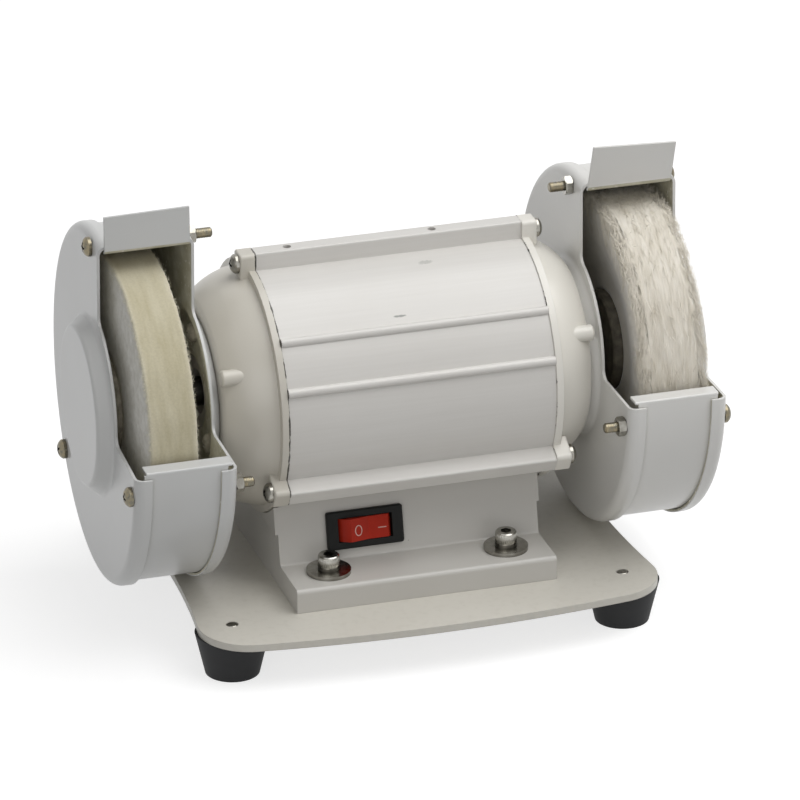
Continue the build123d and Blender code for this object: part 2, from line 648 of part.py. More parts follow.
def make_terminal_block():
    """Row of ways on a strip, held to the plate by one screw between the middle ways."""
    base = PLATE_TOP + BLOCK_BASE_H
    strip = block(BLOCK_X - BLOCK_L / 2, BLOCK_X + BLOCK_L / 2, BLOCK_Y - BLOCK_W / 2,
                  BLOCK_Y + BLOCK_W / 2, PLATE_TOP, base)
    strip -= post(M3_R + HOLE_PLAY, PLATE_TOP - 1, base + 1, BLOCK_X, BLOCK_Y)
    head_room = post(M3_PAN_R + SLIP, base, PLATE_TOP + 2 * BLOCK_H, BLOCK_X, BLOCK_Y)
    screw = pan_screw(CLAMP_SCREW_R, CLAMP_SCREW_L, CLAMP_SCREW_HEAD_R, CLAMP_SCREW_H)
    screws = []
    for x in BLOCK_WAY_X:
        tower = block(x - BLOCK_WAY_L / 2, x + BLOCK_WAY_L / 2, BLOCK_Y - BLOCK_WAY_W / 2,
                      BLOCK_Y + BLOCK_WAY_W / 2, base, PLATE_TOP + BLOCK_H)
        strip += tower - head_room
    for x in (BLOCK_WAY_X[0], BLOCK_WAY_X[-1]):
        well_bottom = PLATE_TOP + BLOCK_H - CLAMP_SCREW_L
        strip -= post(CLAMP_SCREW_R + FIT, well_bottom, PLATE_TOP + 2 * BLOCK_H, x, BLOCK_Y)
        screws.append(Pos(x, BLOCK_Y, PLATE_TOP + BLOCK_H) * screw)
    add("terminal_block", strip)
    add("terminal_screws", group(screws))


def make_motor_leads():
    """Sleeved leads from the left coil end, down through the housing to the terminal block."""
    coil_end = HOUSING_MID - CORE_L / 2 - COIL_LIFT - COIL_OVERHANG
    coil_z = -(ROTOR_R + AIR_GAP + TOOTH_TIP + SLIP + SLOT_BOTTOM_R + COIL_LIFT) / 2
    entry_z = PLATE_TOP + BLOCK_BASE_H / 2
    route = FilletPolyline(
        (coil_end, 0, coil_z), (LEAD_HOLE_X, 0, coil_z), (LEAD_HOLE_X, 0, entry_z),
        (LEAD_HOLE_X, BLOCK_Y, entry_z), (BLOCK_X - BLOCK_L / 2, BLOCK_Y, entry_z),
        radius=LEAD_BEND_R,
    )
    end = Plane(origin=route @ 0, z_dir=route % 0)
    add("motor_leads", sweep(end * Circle(LEAD_R), path=route))


# Motor

def housing_section():
    section = Circle(HOUSING_R)
    bar = Pos(0, BAR_TOP_R / 2 + HOUSING_BORE_R / 2) * RectangleRounded(
        BAR_W, BAR_TOP_R - HOUSING_BORE_R, BAR_EDGE_R
    )
    for angle in BAR_ANGLES:
        section += Rot(0, 0, angle) * bar
    bead = Pos(0, HOUSING_R) * Circle(BEAD_R)
    for angle in BEAD_ANGLES:
        for spread in (-BEAD_SPREAD, BEAD_SPREAD):
            section += Rot(0, 0, angle + spread) * bead
    return section - Circle(HOUSING_BORE_R)


def make_housing():
    section = Plane.YZ * housing_section()
    body = extrude(section, HOUSING_RIGHT) + extrude(section, -HOUSING_LEFT)
    for angle in BAR_ANGLES:
        tapped = rod(M4_R + FIT, -2 * HOUSING_LEFT, 2 * HOUSING_RIGHT, 0, TIE_CIRCLE_R)
        body -= around(angle, tapped)
    for x in TOP_HOLE_X:
        body -= post(TOP_HOLE_R, BAR_TOP_R - TOP_HOLE_DEPTH, BAR_TOP_R + 1, x)
    for x in (-WEB_X, WEB_X):
        body -= post(M5_R + FIT, -HOUSING_R - 1, -HOUSING_R + SADDLE_SCREW_GRIP + FIT, x)
    body -= post(LEAD_HOLE_R, -HOUSING_R - 1, -HOUSING_R / 2, LEAD_HOLE_X)
    add("motor_housing", body)


def dome_r(x, wall=0.0):
    """Radius of the bell's dome at a place along the spindle, or of its inside, a wall further in."""
    middle_r = BELL_FACE_R - math.sqrt(BELL_ARC_R**2 - (BELL_FACE - BELL_ARC_X) ** 2)
    return middle_r + math.sqrt((BELL_ARC_R - wall) ** 2 - (x - BELL_ARC_X) ** 2)


def dome_arc(x0, x1, wall=0.0):
    places = (x0, (x0 + x1) / 2, x1)
    return ThreePointArc(*[(x, dome_r(x, wall)) for x in places])


def make_bell(side):
    joint = HOUSING_END[side]
    preload = PRELOAD_T if side == "right" else 0.0
    seat_end = BEARING_START + BEARING_W + preload
    seat_r = BEARING_R + FIT
    hub_r = seat_r + HUB_WALL
    spigot_r = HOUSING_BORE_R - FIT
    spigot_end = joint - SPIGOT_L
    rim_end = joint + BELL_RIM_W
    lug_end = joint + LUG_L
    outline = [
        Polyline(
            (BELL_FACE, BELL_FACE_R), (BELL_FACE, 0), (spigot_end, 0), (spigot_end, spigot_r),
            (joint, spigot_r), (joint, BELL_R), (rim_end, BELL_R), (rim_end, dome_r(rim_end)),
        ),
        dome_arc(rim_end, BELL_FACE),
    ]
    bell = revolve(Plane.XZ * make_face(outline), Axis.X)
    bell = fillet(bell.edges().group_by(Axis.X)[-1], BELL_FACE_EDGE)
    lug = block(joint, lug_end, -LUG_W / 2, LUG_W / 2, BELL_R - BELL_WALL, BAR_TOP_R)
    lug = fillet(lug.edges().filter_by(Axis.X).group_by(Axis.Z)[-1], LUG_EDGE_R)
    lug = chamfer(lug.edges().group_by(Axis.X)[-1], LUG_EDGE_R / 4)
    stub = chamfer(
        rod(STUB_R, STUB_ROOT, STUB_END, 0, STUB_CIRCLE_R).edges().group_by(Axis.X)[-1], STUB_R / 5
    )
    for angle in BAR_ANGLES:
        bell += around(angle, lug)
        bell -= around(angle, rod(M4_R + HOLE_PLAY, joint - 1, lug_end + 1, 0, TIE_CIRCLE_R))
        bell -= around(angle, rod(M4_PAN_R + SLIP, lug_end, BELL_FACE, 0, TIE_CIRCLE_R))
    for angle in STUB_ANGLES:
        bell += around(angle, stub)
    back = BELL_FACE - BELL_WALL
    throat_r = spigot_r - SPIGOT_WALL
    hollow = [
        Polyline(
            (back, dome_r(back, BELL_WALL)), (back, hub_r), (BEARING_START, hub_r), (BEARING_START, 0),
            (spigot_end - 1, 0), (spigot_end - 1, throat_r), (joint, throat_r),
            (rim_end, dome_r(rim_end, BELL_WALL)),
        ),
        dome_arc(rim_end, back, BELL_WALL),
    ]
    bell -= revolve(Plane.XZ * make_face(hollow), Axis.X)
    for angle in BAR_ANGLES:
        boss = rod(MOUNT_BOSS_R, back - MOUNT_BOSS_L, BELL_FACE, 0, MOUNT_CIRCLE_R)
        hole = rod(M4_R + FIT, BELL_FACE - MOUNT_SCREW_L, BELL_FACE + 1, 0, MOUNT_CIRCLE_R)
        bell += around(angle, boss)
        bell -= around(angle, hole)
    bell -= rod(seat_r, BEARING_START - 1, seat_end)
    bell -= rod(SHAFT_HOLE_R, seat_end - 1, BELL_FACE + 1)
    add(side + "_end_bell", on_side(side, bell))


def make_bell_screws():
    screws = []
    for side in SIDES:
        screw = Pos(HOUSING_END[side] + LUG_L, 0, TIE_CIRCLE_R) * Rot(0, 90, 0) * pan_screw(
            M4_R, TIE_SCREW_L, M4_PAN_R, M4_PAN_H
        )
        screws += [on_side(side, one) for one in ring_of(BAR_ANGLES, screw)]
    add("end_bell_screws", group(screws))


def make_bearing(side):
    x0, x1 = BEARING_START, BEARING_START + BEARING_W
    middle = (x0 + x1) / 2
    groove = Pos(middle, 0, 0) * Rot(0, 90, 0) * Torus(BALL_CIRCLE_R, BALL_R + BALL_PLAY)
    outer = rod(BEARING_R, x0, x1) - rod(BALL_CIRCLE_R + RACE_SHOULDER, x0 - 1, x1 + 1) - groove
    inner = rod(BALL_CIRCLE_R - RACE_SHOULDER, x0, x1) - rod(BEARING_BORE_R + FIT, x0 - 1, x1 + 1)
    inner -= groove
    angles = [360 * number / BALL_COUNT for number in range(BALL_COUNT)]
    ball = Pos(middle, 0, BALL_CIRCLE_R) * Sphere(BALL_R)
    pocket = Pos(middle, 0, BALL_CIRCLE_R) * Sphere(BALL_R + BALL_PLAY)
    cage = rod(BALL_CIRCLE_R + CAGE_T / 2, middle - CAGE_W / 2, middle + CAGE_W / 2)
    cage -= rod(BALL_CIRCLE_R - CAGE_T / 2, x0, x1)
    for angle in angles:
        cage -= around(angle, pocket)
    add(side + "_bearing_outer_ring", on_side(side, outer))
    add(side + "_bearing_inner_ring", on_side(side, inner))
    add(side + "_bearing_balls", on_side(side, group(ring_of(angles, ball))))
    add(side + "_bearing_cage", on_side(side, cage))


def make_preload_washer():
    x0 = BEARING_START + BEARING_W
    ring = rod(BEARING_R - SLIP, x0, x0 + PRELOAD_T) - rod(PRELOAD_INNER_R, x0 - 1, x0 + PRELOAD_T + 1)
    add("preload_washer", ring)


def slot_sector(width, inner_r, outer_r):
    """Straight slot in the YZ plane, open along the spindle."""
    return Pos(0, (inner_r + outer_r) / 2) * Rectangle(width, outer_r - inner_r)


def make_stator():
    bore = ROTOR_R + AIR_GAP
    slot_start = bore + TOOTH_TIP
    angles = [360 * number / SLOTS for number in range(SLOTS)]
    section = Circle(HOUSING_BORE_R - FIT) - Circle(bore)
    for angle in angles:
        section -= Rot(0, 0, angle) * slot_sector(SLOT_W, slot_start, SLOT_BOTTOM_R)
        section -= Rot(0, 0, angle) * slot_sector(SLOT_MOUTH_W, bore - 1, slot_start + 1)
    half = CORE_L / 2
    at_middle = Pos(HOUSING_MID, 0, 0)
    add("stator_core", at_middle * extrude(Plane.YZ * section, half, both=True))
    sides = Sketch()
    for angle in angles:
        sides += Rot(0, 0, angle) * slot_sector(
            SLOT_W - 2 * SLIP, slot_start + SLIP, SLOT_BOTTOM_R - SLIP
        )
    coils = extrude(Plane.YZ * sides, half + COIL_LIFT + 1, both=True)
    inner, outer = slot_start + SLIP, SLOT_BOTTOM_R + COIL_LIFT
    for side in SIDES:
        start = half + COIL_LIFT
        end = start + COIL_OVERHANG
        soft = COIL_OVERHANG / 4
        bundle = turned(
            (start, inner), (end - soft, inner), (end, inner + soft), (end, outer - soft),
            (end - soft, outer), (start + soft, outer), (start, outer - soft),
        )
        coils += on_side(side, bundle)
    add("stator_windings", at_middle * coils)


def make_rotor():
    half = CORE_L / 2
    at_middle = Pos(HOUSING_MID, 0, 0)
    angles = [360 * number / ROTOR_BARS for number in range(ROTOR_BARS)]
    core = rod(ROTOR_R, -half, half) - rod(SHAFT_CORE_R + FIT, -half - 1, half + 1)
    bars = rod(ROTOR_BAR_R, -half - 1, half + 1, 0, ROTOR_BAR_CIRCLE_R)
    slots = rod(ROTOR_BAR_R + FIT, -half - 1, half + 1, 0, ROTOR_BAR_CIRCLE_R)
    ring = rod(END_RING_OUTER_R, half, half + END_RING_T)
    ring -= rod(END_RING_INNER_R, half - 1, half + END_RING_T + 1)
    cage = ring + mirror(ring, about=Plane.YZ)
    for angle in angles:
        core -= around(angle, slots)
        cage += around(angle, bars)
    add("rotor_core", at_middle * core)
    add("rotor_cage", at_middle * cage)


def make_spindle():
    soft = THREAD_R / 5
    right = [
        (BEARING_START, SHAFT_CORE_R), (BEARING_START, BEARING_BORE_R),
        (SHOULDER_X, BEARING_BORE_R), (SHOULDER_X, THREAD_R),
        (SPINDLE_END - soft, THREAD_R), (SPINDLE_END, THREAD_R - soft), (SPINDLE_END, 0),
    ]
    left = [(-x, r) for x, r in reversed(right)]
    add("spindle", turned(*left, *right))


def make_wheel_clamp(side):
    disc = rod(FLANGE_DISC_R, 0, FLANGE_DISC_T)
    disc = chamfer(disc.edges().group_by(Axis.X)[0], FLANGE_DISC_T / 5)
    disc -= rod(FLANGE_RELIEF_R, FLANGE_DISC_T - FLANGE_RELIEF_D, FLANGE_DISC_T + 1)
    disc -= rod(THREAD_R + FIT, -1, FLANGE_DISC_T + 1)
    inner = Pos(SHOULDER_X, 0, 0) * disc
    outer = Pos(SPINDLE_NUT_X, 0, 0) * mirror(disc, about=Plane.YZ)
    nut = Pos(SPINDLE_NUT_X, 0, 0) * Rot(0, 90, 0) * hex_nut(SPINDLE_FLATS, SPINDLE_NUT_H, THREAD_R)
    add(side + "_inner_flange", on_side(side, inner))
    add(side + "_outer_flange", on_side(side, outer))
    add(side + "_spindle_nut", on_side(side, nut))


def wheel_sides(rim, hub_half, bore):
    """Closed half profile of a wheel: its rim line, then the clamped hub."""
    pocket_r = FLANGE_DISC_R + SLIP
    first, last = rim @ 0, rim @ 1
    hub = Polyline(
        (last.X, last.Y), (last.X, pocket_r), (hub_half, pocket_r), (hub_half, bore),
        (-hub_half, bore), (-hub_half, pocket_r), (first.X, pocket_r), (first.X, first.Y),
    )
    return revolve(Plane.XZ * make_face([rim, hub]), Axis.X)


def make_wheels():
    bore = THREAD_R + FIT
    hub_half = WHEEL_HUB_W / 2
    half = FELT_W / 2
    felt_rim = FilletPolyline(
        (-half, WHEEL_R / 2), (-half, WHEEL_R), (half, WHEEL_R), (half, WHEEL_R / 2),
        radius=FELT_EDGE_R,
    )
    felt = wheel_sides(felt_rim, hub_half, bore)
    add("felt_wheel", on_side("left", Pos(WHEEL_MID_X, 0, 0) * felt))
    rim_half = BUFF_RIM_W / 2
    neck = hub_half + SLIP
    edge_r = BUFF_R - BUFF_CROWN
    shoulder_r = BUFF_R - BUFF_SHOULDER
    half_rim = [
        (rim_half / 2, BUFF_R), (rim_half - BUFF_CROWN, edge_r), (rim_half, shoulder_r),
        (neck, BUFF_NECK_R),
    ]
    other_half = [(-x, r) for x, r in reversed(half_rim)]
    buff_rim = Polyline(*other_half, *half_rim)
    buff = wheel_sides(buff_rim, hub_half, bore)
    add("cotton_buff", Pos(WHEEL_MID_X, 0, 0) * buff)


# Wheel guards

def mouth_outline(floor_z):
    """The open quarter in front of the wheel, less the rounded part that covers the hub."""
    reach = 2 * GUARD_R
    quarter = Pos(-MOUTH_REAR_Y - reach / 2, floor_z + reach / 2) * Rectangle(reach, reach)
    outline = quarter - Pos(0, BULGE_RISE) * Circle(BULGE_R)
    meets = [
        vertex for vertex in outline.vertices()
        if abs(math.hypot(vertex.X, vertex.Y - BULGE_RISE) - BULGE_R) < FIT
    ]
    return fillet(meets, MOUTH_BLEND_R)


def pressed_pan(dome_h):
    """Pressed sheet pan: flat face at x = 0 with a dome of height dome_h, rim folded to -x."""
    run = DOME_BASE_R - DOME_TOP_R
    slope = math.hypot(run, dome_h)
    shift = SHEET * (slope - run) / dome_h
    outer = FilletPolyline(
        (dome_h, 0), (dome_h, DOME_TOP_R), (0, DOME_BASE_R), (0, GUARD_R), (-PAN_FLANGE, GUARD_R),
        radius=[DOME_BLEND_R, DOME_BLEND_R, PAN_EDGE_R],
    )
    inner = FilletPolyline(
        (dome_h - SHEET, 0), (dome_h - SHEET, DOME_TOP_R - shift), (-SHEET, DOME_BASE_R - shift),
        (-SHEET, GUARD_R - SHEET), (-PAN_FLANGE, GUARD_R - SHEET),
        radius=[DOME_BLEND_R - SHEET, DOME_BLEND_R + SHEET, PAN_EDGE_R - SHEET],
    )
    middle = Line((dome_h, 0), (dome_h - SHEET, 0))
    edge = Line((-PAN_FLANGE, GUARD_R), (-PAN_FLANGE, GUARD_R - SHEET))
    return revolve(Plane.XZ * make_face([outer, edge, inner, middle]), Axis.X)


def bent_visor(side, start_y, under_z):
    """End of the band, folded up just past start_y, where under_z is the band's underside."""
    lean = VISOR_LEAN[side]
    forward = -math.sin(math.radians(lean))
    upward = math.cos(math.radians(lean))
    corner = math.tan(math.radians(90 - lean) / 2)
    reach = 2 * VISOR_L[side]

    def edge(radius, z):
        fold_y = -start_y - VISOR_LAP - radius * corner
        end = (fold_y + reach * forward, z + reach * upward)
        return FilletPolyline((-start_y, z), (fold_y, z), end, radius=radius)

    under = edge(BEND_R + BAND_T, under_z)
    upper = edge(BEND_R, under_z + BAND_T)
    profile = make_face([under, Line(under @ 1, upper @ 1), upper, Line(upper @ 0, under @ 0)])
    strip = extrude(Plane.YZ * profile, VISOR_W, both=True)
    fold_z = under_z + BAND_T + BEND_R
    outline = block(-VISOR_W / 2, VISOR_W / 2, -reach, reach, -reach, VISOR_L[side])
    place = Pos(0, -start_y, fold_z) * Rot(lean, 0, 0) * Rot(0, VISOR_ROLL[side], 0)
    return strip & (place * outline)


def make_guard(side):
    turn = Rot(GUARD_TURN[side], 0, 0)
    cover_x = COVER_X[side]
    through = 2 * cover_x
    at_cover = Pos(cover_x, 0, 0) * Rot(0, 0, COVER_YAW[side])
    cover = at_cover * pressed_pan(COVER_DOME_H)
    pan = Pos(PAN_IN_X, 0, 0) * mirror(pressed_pan(SEAT_DOME_H), about=Plane.YZ)
    holes = [extrude(Plane.YZ * mouth_outline(MOUTH_FLOOR_Z), through)]
    for radius, angle in GUARD_BOLT_PLACES:
        holes.append(around(angle, rod(M4_R + HOLE_PLAY, BELL_FACE, through, 0, radius)))
    for hole in holes:
        cover -= hole
        pan -= hole
    pan = turn * pan - rod(HUB_HOLE_R, BELL_FACE - 1, PAN_IN_X)
    for angle in BAR_ANGLES:
        pan -= around(angle, rod(M4_R + HOLE_PLAY, BELL_FACE - 1, PAN_IN_X, 0, MOUNT_CIRCLE_R))
    add(side + "_guard_cover", on_side(side, turn * cover))
    add(side + "_guard_pan", on_side(side, pan))

    band_r = GUARD_R - SHEET - BAND_FIT
    reach = 2 * GUARD_R
    fold_y = MOUTH_REAR_Y + SLIP
    end_y = fold_y + VISOR_LAP
    open_quarter = Pos(-end_y - reach / 2, LIP_Z + reach / 2) * Rectangle(reach, reach)
    hoop = Circle(band_r) - Circle(band_r - BAND_T) - open_quarter
    band = Pos(PAN_IN_X + PAN_EDGE_R, 0, 0) * extrude(Plane.YZ * hoop, GUARD_W[side])
    band &= at_cover * block(-reach, -PAN_EDGE_R, -reach, reach, -reach, reach)
    middle = (PAN_IN_X + cover_x) / 2
    lip_front = math.sqrt(band_r ** 2 - LIP_Z ** 2)
    lip = block(middle - VISOR_W / 2, middle + VISOR_W / 2, -lip_front, -lip_front + LIP_DEPTH,
                LIP_Z, LIP_Z + BAND_T)
    lip = fillet(lip.edges().filter_by(Axis.X).group_by(Axis.Z)[-1].sort_by(Axis.Y)[0], BEND_R)
    under_z = math.sqrt((band_r - BAND_T) ** 2 - fold_y ** 2)
    visor = Pos(middle, 0, 0) * bent_visor(side, fold_y, under_z)
    add(side + "_guard_band", on_side(side, turn * (band + visor + lip)))

    lean = math.tan(math.radians(COVER_YAW[side]))
    bolt = Rot(0, 90, 0) * pan_screw(M4_R, GUARD_BOLT_L, M4_PAN_R, M4_PAN_H)
    nut = Rot(0, 90, 0) * hex_nut(M4_FLATS, M4_NUT_H, M4_R)
    for radius, angle in GUARD_BOLT_PLACES:
        forward = radius * math.sin(math.radians(angle))
        seat = cover_x + (forward + M4_PAN_R) * lean
        GUARD_BOLTS.append(on_side(side, turn * around(angle, Pos(seat, 0, radius) * bolt)))
        nut_place = Pos(PAN_IN_X - M4_NUT_H, 0, radius)
        GUARD_NUTS.append(on_side(side, turn * around(angle, nut_place * nut)))
    screw = Pos(BELL_FACE + SHEET, 0, MOUNT_CIRCLE_R) * Rot(0, 90, 0) * pan_screw(
        M4_R, MOUNT_SCREW_L, M4_PAN_R, M4_PAN_H
    )
    GUARD_SCREWS.extend(on_side(side, one) for one in ring_of(BAR_ANGLES, screw))


make_base_plate()
make_feet()
make_pedestal()
make_pedestal_fasteners()
make_switch()
make_gland()
make_electrics()
make_terminal_block()
make_motor_leads()
make_housing()
make_bell_screws()
make_preload_washer()
make_stator()
make_rotor()
make_spindle()
make_wheels()
for hand in SIDES:
    make_bell(hand)
    make_bearing(hand)
    make_wheel_clamp(hand)
    make_guard(hand)
add("guard_bolts", group(GUARD_BOLTS))
add("guard_nuts", group(GUARD_NUTS))
add("guard_screws", group(GUARD_SCREWS))

os.makedirs("parts", exist_ok=True)
for node, shape in PARTS.items():
    export_step(Pos(0, 0, SPINDLE_HEIGHT) * shape, os.path.join("parts", node + ".step"))
print(len(PARTS), "nodes, spindle", round(SPINDLE_HEIGHT, 2), "mm above the floor")
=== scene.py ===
"""Finishes, soft wheels and fine surface forms of a double-ended lens polisher.

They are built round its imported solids.  Everything is in metres, in the frame of the solids: X runs
along the spindle to the right, Y to the rear and Z up, with the floor at zero.  Real sizes are
written in millimetres, times MM.  Angles round the spindle run from the top towards the front.
"""

import math

import bpy
import numpy as np
from mathutils import Matrix, Vector


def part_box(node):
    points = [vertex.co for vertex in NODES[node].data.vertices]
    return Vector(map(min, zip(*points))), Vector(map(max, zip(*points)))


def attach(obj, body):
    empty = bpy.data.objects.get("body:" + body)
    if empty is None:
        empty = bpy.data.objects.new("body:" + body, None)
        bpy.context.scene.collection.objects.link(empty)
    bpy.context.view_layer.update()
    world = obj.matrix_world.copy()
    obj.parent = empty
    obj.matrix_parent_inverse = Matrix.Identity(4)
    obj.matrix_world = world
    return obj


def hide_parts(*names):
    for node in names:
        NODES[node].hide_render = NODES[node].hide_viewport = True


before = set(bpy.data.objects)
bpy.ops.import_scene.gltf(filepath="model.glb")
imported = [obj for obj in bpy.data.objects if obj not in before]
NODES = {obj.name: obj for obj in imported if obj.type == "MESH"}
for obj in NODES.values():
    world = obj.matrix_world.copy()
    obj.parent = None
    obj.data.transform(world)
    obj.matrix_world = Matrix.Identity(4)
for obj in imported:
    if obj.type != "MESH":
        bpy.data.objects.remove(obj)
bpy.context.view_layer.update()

MM = 0.001
SIDES = ("left", "right")
SEED = 20260
FULL_TURN = 2 * math.pi

# Camera: the photograph's viewing angles in degrees, and its framing
AZIMUTH = -17.2
ELEVATION = 24.43
CAMERA_DISTANCE = 3.226
SENSOR = 36.0
LENS = 360.0
AIM = Vector((0.0, 0.0, 0.094))
AIM_RIGHT = 7.42 * MM  # the aim point lies this far left of the middle of the picture
AIM_DOWN = 13.1 * MM  # and this far above it

# Studio: place and width of each softbox, and the light that a surface facing it gets.
# A light of 1 shows a colour as written.
SOFTBOXES = {
    "top_softbox": (Vector((0.72, -0.28, 1.68)), 1.8, 0.95),
    "front_softbox": (Vector((-0.9, -1.7, 0.75)), 1.2, 0.15),
}
SKY_LIGHT = 0.24
WHITE = "ffffff"
FLOOR_PAPER = "b6b6b6"
FLOOR_GLOW = 0.72
FLOOR_HALF = 4.0

# Places and sizes read from the frame
FELT_LO, FELT_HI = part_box("felt_wheel")
FELT_X = (FELT_LO.x + FELT_HI.x) / 2
FELT_HALF = (FELT_HI.x - FELT_LO.x) / 2 - 0.15 * MM
FELT_R = (FELT_HI.z - FELT_LO.z) / 2 - 0.2 * MM
BUFF_LO, BUFF_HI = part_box("cotton_buff")
BUFF_X = (BUFF_LO.x + BUFF_HI.x) / 2
BUFF_HALF = (BUFF_HI.x - BUFF_LO.x) / 2
BUFF_R = (BUFF_HI.z - BUFF_LO.z) / 2
SPINDLE_Z = (FELT_LO.z + FELT_HI.z) / 2
FLANGE_R = (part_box("left_outer_flange")[1].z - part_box("left_outer_flange")[0].z) / 2
LEFT_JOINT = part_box("motor_housing")[0].x
RIGHT_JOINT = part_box("motor_housing")[1].x
GUARD_R = (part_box("left_guard_pan")[1].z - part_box("left_guard_pan")[0].z) / 2
CAP_LO, CAP_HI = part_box("pedestal_cap_screws")

# Sizes of the solids that their boxes don't give
NUT_OUTER_X = 77.8 * MM  # free ends of the guard nuts, where the bare bolt ends begin
CAP_HEAD_R = 4.25 * MM
CAP_HEAD_H = 5.0 * MM
BORE_R = 5.03 * MM
HUB_HALF = 8.0 * MM  # half of each wheel's width between its flanges
POCKET_R = FLANGE_R + 0.3 * MM

# Both wheels' hub in profile, from the right pocket through the bore to the left one
HUB_X = (HUB_HALF, HUB_HALF, -HUB_HALF, -HUB_HALF)
HUB_R = (POCKET_R, BORE_R, BORE_R, POCKET_R)

# Knurl of the cap screws
KNURL_RIDGES = 36
KNURL_DEPTH = 0.12 * MM
KNURL_SLOPE = 0.3 * MM  # length of each end that slopes into the head

# Guard bolts: about how far from the spindle and at how many degrees each one sits
BOLT_CIRCLE = 67.5 * MM
BOLT_ANGLES = (-1.5, 98.0, 229.0)
BOLT_NEAR = 5.0 * MM  # how near its place all of a bolt is found
BOLT_R = 2.0 * MM
BOLT_PITCH = 0.7 * MM
RIDGE_HALF = 0.26 * MM  # half of a thread ridge's foot
RIDGE_PROUD = 0.10 * MM  # its crest stands this far out of the bolt, and its foot this far in

# Felt wheel
FELT_EDGE_R = 1.0 * MM
FELT_SWELL = 0.07 * MM  # waves of the rim
FELT_SWAY = 0.06 * MM  # waves of the sides
FELT_FRAY = 0.10 * MM
FELT_WORN = 1.2 * MM  # how far the wear of an edge reaches
FELT_HAIR_THICK = 0.08 * MM

# Cotton buff: a body of cloth with a nearly flat crown between rounded shoulders
CLOTH_R = BUFF_R - 0.7 * MM
CLOTH_HALF = BUFF_HALF - 0.9 * MM
SHOULDER_X = 2.6 * MM
SHOULDER_R = 4.0 * MM
CROWN = 0.5 * MM
CROWN_HALF = CLOTH_HALF - SHOULDER_X  # where the crown meets the shoulders
FOOT_R = CLOTH_R - CROWN - SHOULDER_R  # where the shoulders meet the sides
NECK_R = 30.0 * MM
NECK_HALF = 8.3 * MM
THREAD_R = BUFF_R + 2.1 * MM  # no thread reaches further out, where the guard bolts pass
THREAD_HALF = BUFF_HALF - 0.1 * MM  # nor further to the sides
SIDE_THREAD_THICK = 0.07 * MM

# Its surface: long and short waves of the rim, and the pleats of the sides
LONG_RELIEF = 0.06 * MM
SHORT_RELIEF = 0.02 * MM
PLEAT = 0.22 * MM
PLEAT_MOST = 0.7 * MM

# Strands: shares of the length at which one has its rings and its tip, how much thinner it gets
# towards the tip, and the thinnest one's share of the usual width
STRAND_T = np.linspace(0, 1, 4)[None, :]
STRAND_TAPER = 0.6
STRAND_THIN = 0.6

# The rocker's marks: places on its wings, the pedestal's face and how far one wing leans from it
ROCKER_FACE = np.array((0.0, -0.97196, 0.23514))
ROCKER_AXIS = np.array((0.0, 0.23514, 0.97196))
ROCKER_LEAN = math.radians(18.0)
OFF_PLACE = np.array((-21.93, -39.9, 42.4)) * MM
ON_PLACE = np.array((-11.62, -38.4, 41.94)) * MM
RING_HALF = (1.55 * MM, 2.05 * MM)
BAR_HALF = 1.75 * MM
STROKE_HALF = 0.2 * MM
MARK_OUT = 0.04 * MM
MARK_IN = 0.15 * MM

# Whites of the enamel on the motor's pieces: clean, and where the coat is thin.  The left end bell's
# whites are darker than the housing's, which is painted shade, and the right end bell's are lighter,
# which is painted light.
MOTOR_WHITES = {
    "left_end_bell": ("cdc9bf", "c5c0b5"),
    "motor_housing": ("dcdad6", "d4d1cc"),
    "right_end_bell": ("e9e6df", "e1ded5"),
}
# The left guard's whites are darker and the right guard's lighter: painted shade and painted light on
# one enamel.
GUARD_WHITES = {"left": ("d0d1d0", "c8c8c6"), "right": ("e2e1de", "dad9d5")}

# Sprayed enamel: its dimples, drawn a little wider than real, and how far it rounds off a corner
PEEL_SIZE = 1.6 * MM
PEEL_DEPTH = 0.02 * MM
PEEL_STRENGTH = 0.6
CORNER_ROUND = 0.5 * MM
ENAMEL_IOR = 1.5

# Wear of the enamel.  Cracks: the joint, the share of it that cracks, and half the crack's width.
# Scuffs: the middle and half size of each, and how strongly it shows.
CRACKS = ((LEFT_JOINT, 0.6, 0.5 * MM), (RIGHT_JOINT, 0.43, 0.6 * MM))
SCUFFS = (
    (Vector((-2.9, -34.4, 131.6)) * MM, Vector((3.2, 0.9, 0.5)) * MM, 0.85),
    (Vector((14.5, -12.3, 143.5)) * MM, Vector((3.6, 1.6, 0.9)) * MM, 0.35),
)
PRIMER = "8b857a"
CRACK_DIRT = "3a362f"
RUB_MARK = "7c7f78"
# Colour of the painted shade in the corners of plated steel
CORNER_SHADE = "1f1d18"

# A Mix node that blends two colours: its sockets, its setting and its output
FACTOR, A, B = 0, 6, 7
BLEND = {"data_type": "RGBA", "out": 2}

# Length of a wave texture's wave at a scale of 1, nearly
WAVE_LENGTH = 0.3


# Camera, light and floor

def look_at(place, target):
    """Matrix of an object at a place, its own minus Z towards the target and its Y upwards."""
    turn = (target - place).to_track_quat("-Z", "Y").to_matrix().to_4x4()
    return Matrix.Translation(place) @ turn


def link(thing):
    """Puts an object into the scene and gives it back."""
    bpy.context.scene.collection.objects.link(thing)
    return thing


def make_camera():
    """Camera far off with a long lens, so that the machine shows little perspective."""
    a, e = math.radians(AZIMUTH), math.radians(ELEVATION)
    back = Vector((math.sin(a) * math.cos(e), -math.cos(a) * math.cos(e), math.sin(e)))
    right = Vector((math.cos(a), math.sin(a), 0.0))
    up = back.cross(right)
    aim = AIM + right * AIM_RIGHT - up * AIM_DOWN
    data = bpy.data.cameras.new("camera")
    data.lens = LENS
    data.sensor_width = SENSOR
    camera = link(bpy.data.objects.new("camera", data))
    camera.matrix_world = look_at(aim + back * CAMERA_DISTANCE, aim)
    bpy.context.scene.camera = camera


